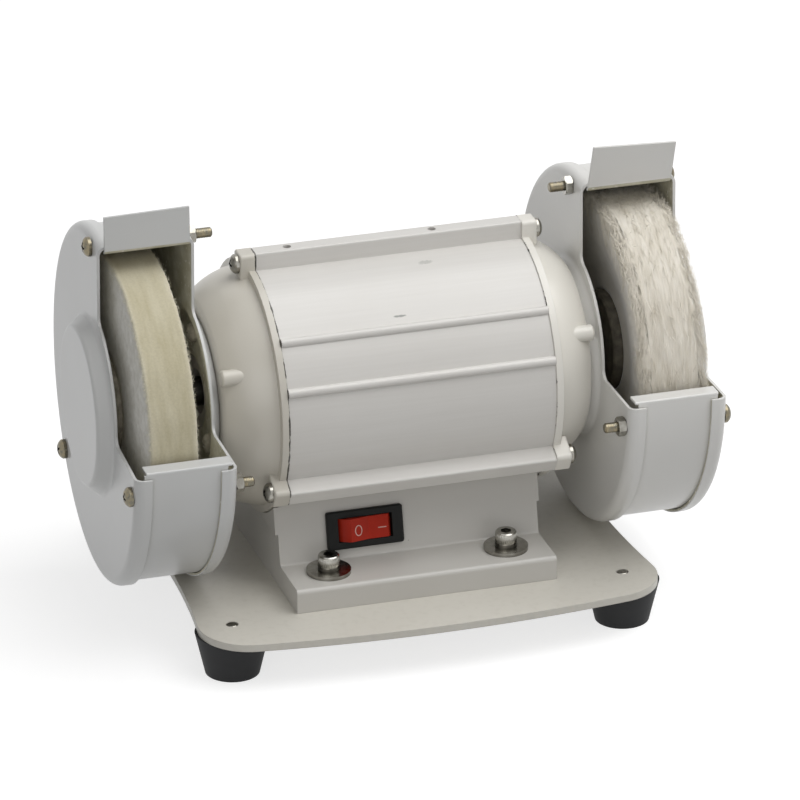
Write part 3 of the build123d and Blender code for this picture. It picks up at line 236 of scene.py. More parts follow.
def softbox(name, place, size, light):
    """Square lamp aimed at the machine.  Its power gives the stated light at its distance."""
    data = bpy.data.lights.new(name, "AREA")
    data.size = size
    data.energy = light * math.pi**2 * (place - AIM).length_squared
    lamp = link(bpy.data.objects.new(name, data))
    lamp.matrix_world = look_at(place, AIM)


def linear(code):
    """Linear colour of an sRGB hex code, opaque."""
    parts = [int(code[i:i + 2], 16) / 255 for i in (0, 2, 4)]
    return tuple(c / 12.92 if c <= 0.04045 else ((c + 0.055) / 1.055) ** 2.4 for c in parts) + (1.0,)


def add(tree, kind, inputs=None, out=0, **settings):
    """Adds a node with its settings, fills its sockets with values, hex colours or links.

    Sockets go by name, or by number where several have one name.  Gives back the output that is
    asked for.
    """
    made = tree.nodes.new("ShaderNode" + kind)
    for key, value in settings.items():
        setattr(made, key, value)
    for key, value in (inputs or {}).items():
        if isinstance(value, bpy.types.NodeSocket):
            tree.links.new(value, made.inputs[key])
        else:
            made.inputs[key].default_value = linear(value) if isinstance(value, str) else value
    return made.outputs[out]


def seen_directly(tree):
    """One for camera, glossy and transmission rays, nought for the rays that light the object."""
    camera = add(tree, "LightPath", out="Is Camera Ray")
    path = camera.node.outputs
    seen = add(tree, "Math", {0: camera, 1: path["Is Glossy Ray"]}, operation="MAXIMUM")
    return add(tree, "Math", {0: seen, 1: path["Is Transmission Ray"]}, operation="MAXIMUM")


def make_studio():
    """White surroundings, a soft light from above, a weak one from the front, and a paper floor."""
    world = bpy.data.worlds.new("studio")
    bpy.context.scene.world = world
    world.use_nodes = True
    tree = world.node_tree
    strength = add(tree, "MapRange", {"Value": seen_directly(tree), "To Min": SKY_LIGHT, "To Max": 1.0})
    tree.links.new(strength, tree.nodes["Background"].inputs["Strength"])
    tree.nodes["Background"].inputs["Color"].default_value = linear(WHITE)
    for name, (place, size, light) in SOFTBOXES.items():
        softbox(name, place, size, light)

    corners = [(x * FLOOR_HALF, y * FLOOR_HALF, 0.0) for x, y in ((-1, -1), (1, -1), (1, 1), (-1, 1))]
    mesh = bpy.data.meshes.new("floor")
    mesh.from_pydata(corners, [], [(0, 1, 2, 3)])
    floor = link(bpy.data.objects.new("floor", mesh))
    material = bpy.data.materials.new("white_paper")
    material.use_nodes = True
    tree = material.node_tree
    tree.nodes.clear()
    paper = add(tree, "BsdfDiffuse", {"Color": FLOOR_PAPER})
    glow = add(tree, "MapRange", {"Value": seen_directly(tree), "To Min": 0.0, "To Max": FLOOR_GLOW})
    shine = add(tree, "Emission", {"Color": WHITE, "Strength": glow})
    surface = add(tree, "AddShader", {0: paper, 1: shine})
    output = tree.nodes.new("ShaderNodeOutputMaterial")
    tree.links.new(surface, output.inputs["Surface"])
    mesh.materials.append(material)


# Materials

def finish(name, sockets):
    """A material with its shader's constant sockets set.

    Gives back the material, its tree, its shader and the place in the frame of the shaded point.
    """
    material = bpy.data.materials.new(name)
    material.use_nodes = True
    tree = material.node_tree
    shader = tree.nodes["Principled BSDF"]
    for key, value in sockets.items():
        shader.inputs[key].default_value = value
    return material, tree, shader, add(tree, "TexCoord", out="Object")


def wire(tree, shader, tone, height, depth, strength, corner=0.0):
    """Gives a shader its colour, and a bump of the stated depth; a radius softens its corners."""
    tree.links.new(tone, shader.inputs["Base Color"])
    sockets = {"Height": height, "Distance": depth, "Strength": strength}
    if corner:
        sockets["Normal"] = add(tree, "Bevel", {"Radius": corner}, samples=4)
    tree.links.new(add(tree, "Bump", sockets), shader.inputs["Normal"])


def enamel_base(tree, place, colour, shaded):
    """Enamel's own colour, a little uneven over 45 mm, with sparse chips down to the primer.

    A chip is the heart of a cell about 15 mm wide, in one cell out of eight.
    """
    drift = add(tree, "TexNoise", {"Vector": place, "Scale": 1 / (45 * MM), "Detail": 3.0})
    tone = add(tree, "Mix", {FACTOR: drift, A: shaded, B: colour}, **BLEND)
    distance = add(tree, "TexVoronoi", {"Vector": place, "Scale": 1 / (15 * MM)}, "Distance")
    chip = add(tree, "MapRange", {"Value": distance, "From Min": 0.025, "From Max": 0.018})
    kind = add(tree, "SeparateColor", {0: distance.node.outputs["Color"]})
    rare = add(tree, "Math", {0: kind, 1: 0.88}, operation="GREATER_THAN")
    chipped = add(tree, "Math", {0: chip, 1: rare}, operation="MULTIPLY")
    return add(tree, "Mix", {FACTOR: chipped, A: tone, B: PRIMER}, **BLEND)


def wire_sprayed(tree, shader, place, tone):
    """Gives a shader the colour of an enamel, with the shallow dimples of sprayed paint."""
    dimples = add(tree, "TexNoise", {"Vector": place, "Scale": 1 / PEEL_SIZE, "Detail": 1.0})
    wire(tree, shader, tone, dimples, PEEL_DEPTH, PEEL_STRENGTH, CORNER_ROUND)


def cracked_seam(tree, place, tone, seam, cover, width):
    """Dark crack in the enamel over a joint of the motor, as wide as an uneven noise lets it be."""
    along = add(tree, "SeparateXYZ", {0: place})
    off = add(tree, "Math", {0: along, 1: seam}, operation="SUBTRACT")
    off = add(tree, "Math", {0: off}, operation="ABSOLUTE")
    noise = add(tree, "TexNoise", {
        "Vector": place, "Scale": 1 / (10 * MM), "Detail": 8.0, "Roughness": 0.65,
    })
    reach = add(tree, "MapRange", {
        "Value": noise, "From Min": 1 - cover, "From Max": 1.2 - cover, "To Max": width,
    })
    crack = add(tree, "Math", {0: off, 1: reach}, operation="LESS_THAN")
    return add(tree, "Mix", {FACTOR: crack, A: tone, B: CRACK_DIRT}, **BLEND)


def scuffed(tree, place, tone):
    """Grey rub marks: a stretched ball round each place, its edge torn by a noise of about 1 mm."""
    torn = add(tree, "TexNoise", {"Vector": place, "Scale": 1 / (1.2 * MM), "Detail": 4.0})
    for middle, size, strength in SCUFFS:
        local = add(tree, "VectorMath", {0: place, 1: middle}, operation="SUBTRACT")
        local = add(tree, "VectorMath", {0: local, 1: size}, operation="DIVIDE")
        far = add(tree, "VectorMath", {0: local}, "Value", operation="LENGTH")
        ragged = add(tree, "Math", {0: far, 1: torn}, operation="ADD")
        mark = add(tree, "MapRange", {
            "Value": ragged, "From Min": 1.4, "From Max": 1.1, "To Max": strength,
        })
        tone = add(tree, "Mix", {FACTOR: mark, A: tone, B: RUB_MARK}, **BLEND)
    return tone


def cast_enamel():
    """Gloss stove enamel on the cast pedestal: warm white, softly shining."""
    material, tree, shader, place = finish("gloss_enamel_on_casting", {
        "Roughness": 0.32, "IOR": ENAMEL_IOR,
    })
    wire_sprayed(tree, shader, place, enamel_base(tree, place, "c8c6c1", "c0bdb7"))
    return material


def motor_enamel(part):
    """Gloss stove enamel on the motor: warm white, cracked along the joints with the end bells."""
    material, tree, shader, place = finish(part + "_gloss_enamel", {
        "Roughness": 0.28, "IOR": ENAMEL_IOR,
    })
    # Each piece's white carries painted light and shade: darker on the left end bell, lighter on the
    # right one.
    tone = enamel_base(tree, place, *MOTOR_WHITES[part])
    for seam, cover, width in CRACKS:
        tone = cracked_seam(tree, place, tone, seam, cover, width)
    return material, tree, shader, place, tone


def bell_enamel(part):
    """The motor's enamel on a cast end bell, with the dimples of sprayed paint."""
    material, tree, shader, place, tone = motor_enamel(part)
    wire_sprayed(tree, shader, place, tone)
    return material


def housing_enamel():
    """The motor's enamel on the drawn housing: faint lines of the die run along the spindle."""
    material, tree, shader, place, tone = motor_enamel("motor_housing")
    drawn = add(tree, "Mapping", {"Vector": place, "Scale": (0.03, 1.0, 1.0)})
    lines = add(tree, "TexNoise", {"Vector": drawn, "Scale": 1 / (1.3 * MM), "Detail": 2.0})
    faint = add(tree, "MapRange", {"Value": lines, "From Min": 0.3, "From Max": 0.7, "To Max": 0.25})
    tone = add(tree, "Mix", {FACTOR: faint, A: tone, B: "ccc9c3"}, **BLEND)
    tone = scuffed(tree, place, tone)
    wire(tree, shader, tone, lines, 0.03 * MM, 0.5, CORNER_ROUND)
    return material


def guard_enamel(side):
    """Gloss enamel on sheet steel, a cooler white; inside the guard it lies under olive-grey dust.

    A face is inside if it lies within the rim and looks towards the middle of the guard.
    """
    material, tree, shader, place = finish(side + "_guard_enamel", {"IOR": ENAMEL_IOR})
    lo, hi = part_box(side + "_guard_band")
    middle = ((lo.x + hi.x) / 2, 0.0, SPINDLE_Z)
    inward = add(tree, "VectorMath", {0: middle, 1: place}, operation="SUBTRACT")
    normal = add(tree, "NewGeometry", out="True Normal")
    facing = add(tree, "VectorMath", {0: inward, 1: normal}, "Value", operation="DOT_PRODUCT")
    off_axis = add(tree, "VectorMath", {0: inward, 1: (0.0, 1.0, 1.0)}, operation="MULTIPLY")
    radius = add(tree, "VectorMath", {0: off_axis}, "Value", operation="LENGTH")
    within = add(tree, "Math", {0: radius, 1: GUARD_R - 0.4 * MM}, operation="LESS_THAN")
    faces_in = add(tree, "Math", {0: facing, 1: 2 * MM}, operation="GREATER_THAN")
    inside = add(tree, "Math", {0: faces_in, 1: within}, operation="MULTIPLY")
    # Painted light and shade: the left guard's white is darker, the right guard's lighter.
    clean = enamel_base(tree, place, *GUARD_WHITES[side])
    blotch = add(tree, "TexNoise", {"Vector": place, "Scale": 1 / (7 * MM), "Detail": 6.0})
    patch = add(tree, "MapRange", {"Value": blotch, "From Min": 0.40, "From Max": 0.66})
    dust = add(tree, "Mix", {FACTOR: patch, A: "bcb8a2", B: "d3d0be"}, **BLEND)
    fleck = add(tree, "TexNoise", {"Vector": place, "Scale": 1 / (2.2 * MM), "Detail": 4.0})
    speck = add(tree, "MapRange", {"Value": fleck, "From Min": 0.62, "From Max": 0.67})
    dust = add(tree, "Mix", {FACTOR: speck, A: dust, B: "e8e5da"}, **BLEND)
    tone = add(tree, "Mix", {FACTOR: inside, A: clean, B: dust}, **BLEND)
    gloss = add(tree, "MapRange", {"Value": inside, "To Min": 0.30, "To Max": 0.65})
    tree.links.new(gloss, shader.inputs["Roughness"])
    wire_sprayed(tree, shader, place, tone)
    return material


def plate_enamel():
    """Satin enamel on the base plate: beige-grey, under a thin film of dust."""
    material, tree, shader, place = finish("satin_enamel_on_plate", {
        "Roughness": 0.4, "IOR": ENAMEL_IOR,
    })
    tone = enamel_base(tree, place, "d3d0c7", "cac6bc")
    film = add(tree, "TexNoise", {"Vector": place, "Scale": 1 / (3 * MM), "Detail": 6.0})
    film = add(tree, "MapRange", {"Value": film, "From Min": 0.5, "From Max": 0.75, "To Max": 0.2})
    tone = add(tree, "Mix", {FACTOR: film, A: tone, B: "b3aea2"}, **BLEND)
    wire_sprayed(tree, shader, place, tone)
    return material


def moulded_rubber():
    """Moulded rubber: charcoal, dull, with the mould's fine blasted grain of about 0.6 mm."""
    material, tree, shader, place = finish("moulded_rubber", {
        "Roughness": 0.65, "IOR": 1.52, "Specular IOR Level": 0.25,
    })
    bloom = add(tree, "TexNoise", {"Vector": place, "Scale": 1 / (12 * MM), "Detail": 4.0})
    tone = add(tree, "Mix", {FACTOR: bloom, A: "252627", B: "39393a"}, **BLEND)
    grain = add(tree, "TexNoise", {"Vector": place, "Scale": 1 / (0.6 * MM), "Detail": 2.0})
    wire(tree, shader, tone, grain, 0.05 * MM, 0.5)
    return material


def plated_steel(name, colours, roughness, patch=3 * MM):
    """Plated steel: a mirror that handling has dulled in patches, tinted where the plating varies.

    Painted shade darkens its sockets, slots and roots, within about 2 mm of a corner.
    """
    material, tree, shader, place = finish(name, {"Metallic": 1.0})
    cloud = add(tree, "TexNoise", {"Vector": place, "Scale": 1 / patch, "Detail": 4.0})
    spread = add(tree, "MapRange", {"Value": cloud, "From Min": 0.35, "From Max": 0.65})
    tone = add(tree, "Mix", {FACTOR: spread, A: colours[0], B: colours[1]}, **BLEND)
    # Painted shade: darker where ambient occlusion finds a corner within 2.2 mm.
    open_air = add(tree, "AmbientOcclusion", {"Distance": 2.2 * MM}, "AO", samples=6)
    painted_shade = add(tree, "MapRange", {
        "Value": open_air, "From Min": 0.25, "From Max": 0.75, "To Min": 0.85, "To Max": 0.0,
    })
    tone = add(tree, "Mix", {FACTOR: painted_shade, A: tone, B: CORNER_SHADE}, **BLEND)
    dull = add(tree, "MapRange", {"Value": cloud, "To Min": roughness * 0.6, "To Max": roughness * 1.6})
    tree.links.new(dull, shader.inputs["Roughness"])
    scratch = add(tree, "TexNoise", {"Vector": place, "Scale": 1 / (0.5 * MM), "Detail": 3.0})
    wire(tree, shader, tone, scratch, 0.01 * MM, 0.4)
    return material


def dusty_steel(name, colours):
    """Steel under a coat of lint and polishing dust: dull, patchy over a few millimetres."""
    material, tree, shader, place = finish(name, {"Roughness": 0.8})
    coat = add(tree, "TexNoise", {"Vector": place, "Scale": 1 / (4 * MM), "Detail": 5.0})
    coat = add(tree, "MapRange", {"Value": coat, "From Min": 0.35, "From Max": 0.65})
    tone = add(tree, "Mix", {FACTOR: coat, A: colours[0], B: colours[1]}, **BLEND)
    wire(tree, shader, tone, coat, 0.05 * MM, 0.5)
    return material


def turned_steel():
    """Turned and ground steel: rings of fine tool marks round the spindle, oily and dark."""
    material, tree, shader, place = finish("turned_steel", {"Metallic": 1.0, "Roughness": 0.34})
    centred = add(tree, "Mapping", {"Vector": place, "Location": (0.0, 0.0, -SPINDLE_Z)})
    marks = add(tree, "TexWave", {
        "Vector": centred, "Scale": WAVE_LENGTH / (0.8 * MM), "Distortion": 1.5,
    }, "Fac", wave_type="RINGS", rings_direction="X")
    tone = add(tree, "Mix", {FACTOR: marks, A: "54534f", B: "6e6c67"}, **BLEND)
    wire(tree, shader, tone, marks, 0.01 * MM, 0.4)
    return material


def layered(name, sockets, colours, spacing):
    """Stacked sheets or wound wire: bands across the spindle, as far apart as sheets or turns are."""
    material, tree, shader, place = finish(name, sockets)
    bands = add(tree, "TexWave", {
        "Vector": place, "Scale": WAVE_LENGTH / spacing, "Distortion": 0.6,
    }, "Fac", bands_direction="X")
    tone = add(tree, "Mix", {FACTOR: bands, A: colours[0], B: colours[1]}, **BLEND)
    wire(tree, shader, tone, bands, spacing / 4, 0.5)
    return material


def moulded_plastic(name, colours, roughness, level, grain=0.8 * MM):
    """Moulded plastic: even colour with faint flow clouds, and the fine grain of a blasted mould."""
    material, tree, shader, place = finish(name, {
        "Roughness": roughness, "IOR": 1.53, "Specular IOR Level": level,
    })
    flow = add(tree, "TexNoise", {"Vector": place, "Scale": 1 / (7 * MM), "Detail": 2.0})
    tone = add(tree, "Mix", {FACTOR: flow, A: colours[0], B: colours[1]}, **BLEND)
    pits = add(tree, "TexNoise", {"Vector": place, "Scale": 1 / grain, "Detail": 1.0})
    wire(tree, shader, tone, pits, 0.02 * MM, 0.35)
    return material


def mark_paint():
    """Pad-printed paint of the switch marks: pale pink, slightly uneven, satin."""
    material, tree, shader, place = finish("printed_mark_paint", {"Roughness": 0.5, "IOR": 1.5})
    worn = add(tree, "TexNoise", {"Vector": place, "Scale": 1 / (0.6 * MM), "Detail": 2.0})
    tone = add(tree, "Mix", {FACTOR: worn, A: "c9938a", B: "ecd0c8"}, **BLEND)
    wire(tree, shader, tone, worn, 0.01 * MM, 0.4)
    return material


def pressed_felt():
    """Pressed wool felt: dull and slightly hairy, grey and mottled at the sides.

    The rim is cream, rubbed into streaks along its run, and paler along its two edges.
    """
    material, tree, shader, place = finish("pressed_wool_felt", {
        "Roughness": 0.95, "Sheen Weight": 0.25, "Sheen Roughness": 0.6, "IOR": 1.45,
    })
    use = add(tree, "Attribute", out="Fac", attribute_name="use")
    edge = add(tree, "Attribute", out="Fac", attribute_name="edge")
    fibre = add(tree, "TexNoise", {"Vector": place, "Scale": 1 / (0.9 * MM), "Detail": 4.0})
    blotch = add(tree, "TexNoise", {"Vector": place, "Scale": 1 / (3.5 * MM), "Detail": 5.0})
    blotch = add(tree, "MapRange", {"Value": blotch, "From Min": 0.32, "From Max": 0.68})
    fresh = add(tree, "Mix", {FACTOR: blotch, A: "dcd9ce", B: "f4f2ea"}, **BLEND)
    along = add(tree, "Mapping", {"Vector": place, "Scale": (6.0, 1.0, 1.0)})
    rubbed = add(tree, "TexNoise", {"Vector": along, "Scale": 1 / (20 * MM), "Detail": 6.0})
    rubbed = add(tree, "MapRange", {"Value": rubbed, "From Min": 0.25, "From Max": 0.75})
    used = add(tree, "Mix", {FACTOR: rubbed, A: "b9b091", B: "cdc6ad"}, **BLEND)
    tone = add(tree, "Mix", {FACTOR: use, A: fresh, B: used}, **BLEND)
    tone = add(tree, "Mix", {FACTOR: edge, A: tone, B: "e2dcc8"}, **BLEND)
    dark = add(tree, "MapRange", {"Value": fibre, "From Min": 0.3, "From Max": 0.6, "To Min": 0.92})
    tone = add(tree, "VectorMath", {0: tone, 1: dark}, operation="MULTIPLY")
    wire(tree, shader, tone, fibre, 0.15 * MM, 0.4)
    return material


def loose_cotton():
    """Loose cotton cloth: warm white threads with a soft sheen, greyed towards the hub by use and by
    painted shade.

    Its combed threads lie round the rim, so the grain is fine across the rim and long along its run.
    Soiled streaks a few millimetres wide run the same way.
    """
    material, tree, shader, place = finish("loose_cotton_cloth", {
        "Roughness": 0.9, "Sheen Weight": 0.6, "Sheen Roughness": 0.5, "IOR": 1.45,
        "Specular IOR Level": 0.2,
    })
    depth = add(tree, "Attribute", out="Fac", attribute_name="depth")
    shade = add(tree, "Attribute", out="Fac", attribute_name="shade")
    along = add(tree, "Mapping", {"Vector": place, "Scale": (14.0, 1.0, 1.0)})
    combed = add(tree, "TexNoise", {"Vector": along, "Scale": 1 / (7 * MM), "Detail": 4.0})
    cloth = add(tree, "Mix", {FACTOR: shade, A: "d6cebe", B: "f2ede2"}, **BLEND)
    run = add(tree, "Mapping", {"Vector": place, "Scale": (4.0, 1.0, 1.0)})
    soil = add(tree, "TexNoise", {"Vector": run, "Scale": 1 / (13 * MM), "Detail": 4.0})
    soil = add(tree, "MapRange", {"Value": soil, "From Min": 0.45, "From Max": 0.75, "To Max": 0.5})
    cloth = add(tree, "Mix", {FACTOR: soil, A: cloth, B: "cbc3b0"}, **BLEND)
    grain = add(tree, "MapRange", {"Value": combed, "From Min": 0.3, "From Max": 0.6, "To Min": 0.92})
    cloth = add(tree, "VectorMath", {0: cloth, 1: grain}, operation="MULTIPLY")
    # Darker towards the hub: soil and painted shade.
    tone = add(tree, "Mix", {FACTOR: depth, A: cloth, B: "a09786"}, **BLEND)
    wire(tree, shader, tone, combed, 0.12 * MM, 0.3)
    return material


# Surfaces on grids

def grid_faces(rows, columns, closed=True):
    """Corner numbers of the quads of a grid of points, row by row.

    Each row closes into a ring, and the last row joins the first one if the grid is closed.
    """
    r = np.arange(rows if closed else rows - 1)[:, None]
    c = np.arange(columns)[None, :]
    r2, c2 = (r + 1) % rows, (c + 1) % columns
    quads = np.stack([r * columns + c, r2 * columns + c, r2 * columns + c2, r * columns + c2], -1)
    return quads.reshape(-1, 4)


def repeated(faces, count, points):
    """The faces of many like shapes, each with so many points, one after another."""
    faces = np.asarray(faces)
    return (faces[None] + (np.arange(count) * points)[:, None, None]).reshape(-1, faces.shape[1])


def mesh_piece(name, points, faces, material, body, attributes=None, smooth=True):
    """Puts whole arrays of points and of triangles or quads into a mesh that rides on a body."""
    points = points.reshape(-1, 3)
    corners = np.concatenate([kind.ravel() for kind in faces])
    sizes = np.concatenate([np.full(len(kind), kind.shape[1]) for kind in faces])
    mesh = bpy.data.meshes.new(name)
    mesh.vertices.add(len(points))
    mesh.vertices.foreach_set("co", points.astype(np.float32).ravel())
    mesh.loops.add(len(corners))
    mesh.loops.foreach_set("vertex_index", corners.astype(np.int32))
    mesh.polygons.add(len(sizes))
    mesh.polygons.foreach_set("loop_start", (np.cumsum(sizes) - sizes).astype(np.int32))
    mesh.polygons.foreach_set("use_smooth", np.full(len(sizes), smooth))
    mesh.update(calc_edges=True)
    mesh.validate()
    for key, values in (attributes or {}).items():
        layer = mesh.attributes.new(key, "FLOAT", "POINT")
        layer.data.foreach_set("value", values.astype(np.float32).ravel())
    mesh.materials.append(material)
    piece = link(bpy.data.objects.new(name, mesh))
    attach(piece, body)
    return piece


def whole_turn(steps):
    """Angles of so many even steps of a full turn, one in each row."""
    return np.linspace(0, FULL_TURN, steps, endpoint=False)[:, None]


def about_spindle(x, radius, angle):
    """Points at a place along the spindle, a radius and an angle from the top towards the front."""
    x, radius, angle = np.broadcast_arrays(x, radius, angle)
    return np.stack([x, -radius * np.sin(angle), SPINDLE_Z + radius * np.cos(angle)], -1)


def streaks(rng, waves, counts, pitch, angle, across):
    """Seeded noise of about unit size that closes round the wheel: a sum of cosine waves.

    Each wave has a whole count round the wheel from the range of counts, a lean across the wheel
    of up to one wave per pitch, and a phase of its own.
    """
    round_wheel = rng.integers(counts[0], counts[1] + 1, waves)
    lean = rng.uniform(-1, 1, waves) * FULL_TURN / pitch
    phase = rng.uniform(0, FULL_TURN, waves)
    total = sum(np.cos(n * angle + k * across + p) for n, k, p in zip(round_wheel, lean, phase))
    return total * math.sqrt(2 / waves)


def strand_widths(rng, count, thick, most):
    """Half widths of so many strands at their rings: a seeded share of the usual one, tapering."""
    return thick * (1 - STRAND_TAPER * STRAND_T[:, :-1]) * rng.uniform(STRAND_THIN, most, (count, 1))


def make_strands(name, spine, width, outward, material, attributes):
    """Tapering three-sided strands round given centre lines, flat side outwards.

    Each ring of three points stands square to its strand's run, at the width given there: two points
    to the sides and one inwards.  One face closes the root, and the line's last point the tip.
    """
    count, rings = spine.shape[0], spine.shape[1] - 1
    run = spine[:, -1] - spine[:, 0]
    run /= np.linalg.norm(run, axis=1, keepdims=True)
    sideways = np.cross(run, outward)
    sideways /= np.linalg.norm(sideways, axis=1, keepdims=True)
    outward = np.cross(sideways, run)
    turn = (math.pi - np.arange(3)[None, :, None] * FULL_TURN) / 3
    ring = np.cos(turn) * outward[:, None] + np.sin(turn) * sideways[:, None]
    tubes = spine[:, :-1, None] + width[:, :, None, None] * ring[:, None]
    points = np.concatenate([tubes.reshape(count, -1, 3), spine[:, -1:]], 1)
    per = 3 * rings + 1
    last = 3 * (rings - 1)
    tip = [(last + k, per - 1, last + (k + 1) % 3) for k in range(3)]
    faces = [repeated(grid_faces(rings, 3, closed=False), count, per),
             repeated(tip + [(0, 1, 2)], count, per)]
    values = {key: np.broadcast_to(value, (count, per)) for key, value in attributes.items()}
    mesh_piece(name, points, faces, material, "spindle_assembly", values, smooth=False)


def away_from_spindle(points):
    """Unit directions straight out from the spindle at each point."""
    out = (points - (0.0, 0.0, SPINDLE_Z)) * (0.0, 1.0, 1.0)
    return out / np.linalg.norm(out, axis=-1, keepdims=True)


def make_felt_wheel(material):
    """Lathe surface: a closed half profile with rounded edges, turned round the spindle.

    The radius and the side swell by low waves, as hand-pressed felt does, and the edge frays by a
    small seeded noise.  The rim and the sides lie in by a little more than their waves are high.
    """
    rng = np.random.default_rng(SEED)
    steps, side_steps, face_steps = 540, 14, 18
    rim_inset, side_inset = 0.25 * MM, 0.12 * MM
    turn = np.linspace(0, math.pi / 2, 5)
    side_r = np.linspace(POCKET_R, FELT_R - FELT_EDGE_R, side_steps)
    face_x = np.linspace(-FELT_HALF + FELT_EDGE_R, FELT_HALF - FELT_EDGE_R, face_steps)[1:-1]
    round_in = FELT_EDGE_R * (1 - np.sin(turn))
    round_out = FELT_EDGE_R * (1 - np.cos(turn))
    x = np.concatenate([
        np.full(side_steps - 1, -FELT_HALF), -FELT_HALF + round_out, face_x,
        FELT_HALF - round_out[::-1], np.full(side_steps - 1, FELT_HALF), HUB_X,
    ])[None, :]
    r = np.concatenate([
        side_r[:-1], FELT_R - round_in, np.full(face_steps - 2, FELT_R),
        FELT_R - round_in[::-1], side_r[-2::-1], HUB_R,
    ])[None, :]
    angle = whole_turn(steps)
    out = np.clip((r - POCKET_R) / (FELT_R - POCKET_R), 0, 1)
    swell = FELT_SWELL * streaks(rng, 9, (2, 24), 20 * MM, angle, 0 * x)
    sway = FELT_SWAY * streaks(rng, 9, (3, 30), 20 * MM, angle, 0 * x)
    at_edge = np.exp(-((np.abs(x) - FELT_HALF) ** 2 + (r - FELT_R) ** 2) / FELT_WORN**2)
    fray = rng.normal(0, FELT_FRAY, (steps, x.size)) * at_edge
    radius = r + (swell - rim_inset) * out**4 + fray
    along = FELT_X + x + np.sign(x) * (sway - side_inset) * out**2 + fray
    use = np.broadcast_to(np.clip((r - FELT_R + FELT_WORN) / (1.0 * MM), 0, 1), radius.shape)
    edge = np.broadcast_to(0.6 * at_edge, radius.shape)
    piece = mesh_piece("felt_wheel_body", about_spindle(along, radius, angle),
                       [grid_faces(steps, x.size)],
                       material, "spindle_assembly", {"use": use, "edge": edge})
    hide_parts("felt_wheel")


def make_felt_hairs(material, count=3200):
    """Wool hairs that stand from the felt's two edges and from its sides near them.

    A hair starts in the felt and grows outwards and sideways: a point a share t along it has gone by
    t times its reach, and has leaned round the wheel by t squared times its lean.
    """
    rng = np.random.default_rng(SEED + 7)
    root_x, root_r = 0.35 * MM, 0.6 * MM
    t = STRAND_T
    each = (count, 1)
    side = rng.choice((-1.0, 1.0), each)
    below = rng.exponential(1.6 * MM, each)
    inside = rng.exponential(0.8 * MM, each)
    on_side = rng.random(each) < 0.55
    x0 = FELT_X + side * (FELT_HALF - root_x - np.where(on_side, 0.0, inside))
    r0 = FELT_R - root_r - np.where(on_side, below, 0.0)
    out_x = side * rng.uniform(0.3, 1.5, each) * MM
    out_r = rng.uniform(0.1, 1.1, each) * MM
    lean = rng.normal(0, 0.9 * MM, each)
    start = rng.uniform(0, FULL_TURN, each)
    spine = about_spindle(x0 + out_x * t, r0 + out_r * t, start + lean * t**2 / FELT_R)
    width = strand_widths(rng, count, FELT_HAIR_THICK, 1.3)
    make_strands("felt_wheel_hairs", spine, width, away_from_spindle(spine[:, 0]), material,
                 {"use": np.ones(each), "edge": rng.uniform(0.4, 1.0, each)})


def cloth_radius(x):
    """The buff's worn radius at a place across it: nearly flat, then an ellipse at each shoulder."""
    off = np.abs(x)
    drop = np.clip((off - CROWN_HALF) / SHOULDER_X, 0, 1)
    crown = CROWN * (np.minimum(off, CROWN_HALF) / CROWN_HALF) ** 2
    return CLOTH_R - crown - SHOULDER_R * (1 - np.sqrt(1 - drop**2))


def side_half(radius):
    """Half the buff's width at a radius below its shoulders: thin at the neck, full at the rim."""
    return np.interp(radius, (POCKET_R, NECK_R, FOOT_R), (HUB_HALF + 0.1 * MM, NECK_HALF, CLOTH_HALF))


def edge_wear(angle, x):
    """How far the buff's edges are worn back, by up to 3.2 mm: broad and fine waves round it.

    The two sides differ.
    """
    rng = np.random.default_rng(SEED + 9)
    broad = streaks(rng, 30, (4, 26), 24 * MM, angle, x)
    fine = streaks(rng, 30, (30, 80), 24 * MM, angle, x)
    return np.clip(0.9 + 0.7 * broad + 0.3 * fine, 0, 3.2) * MM


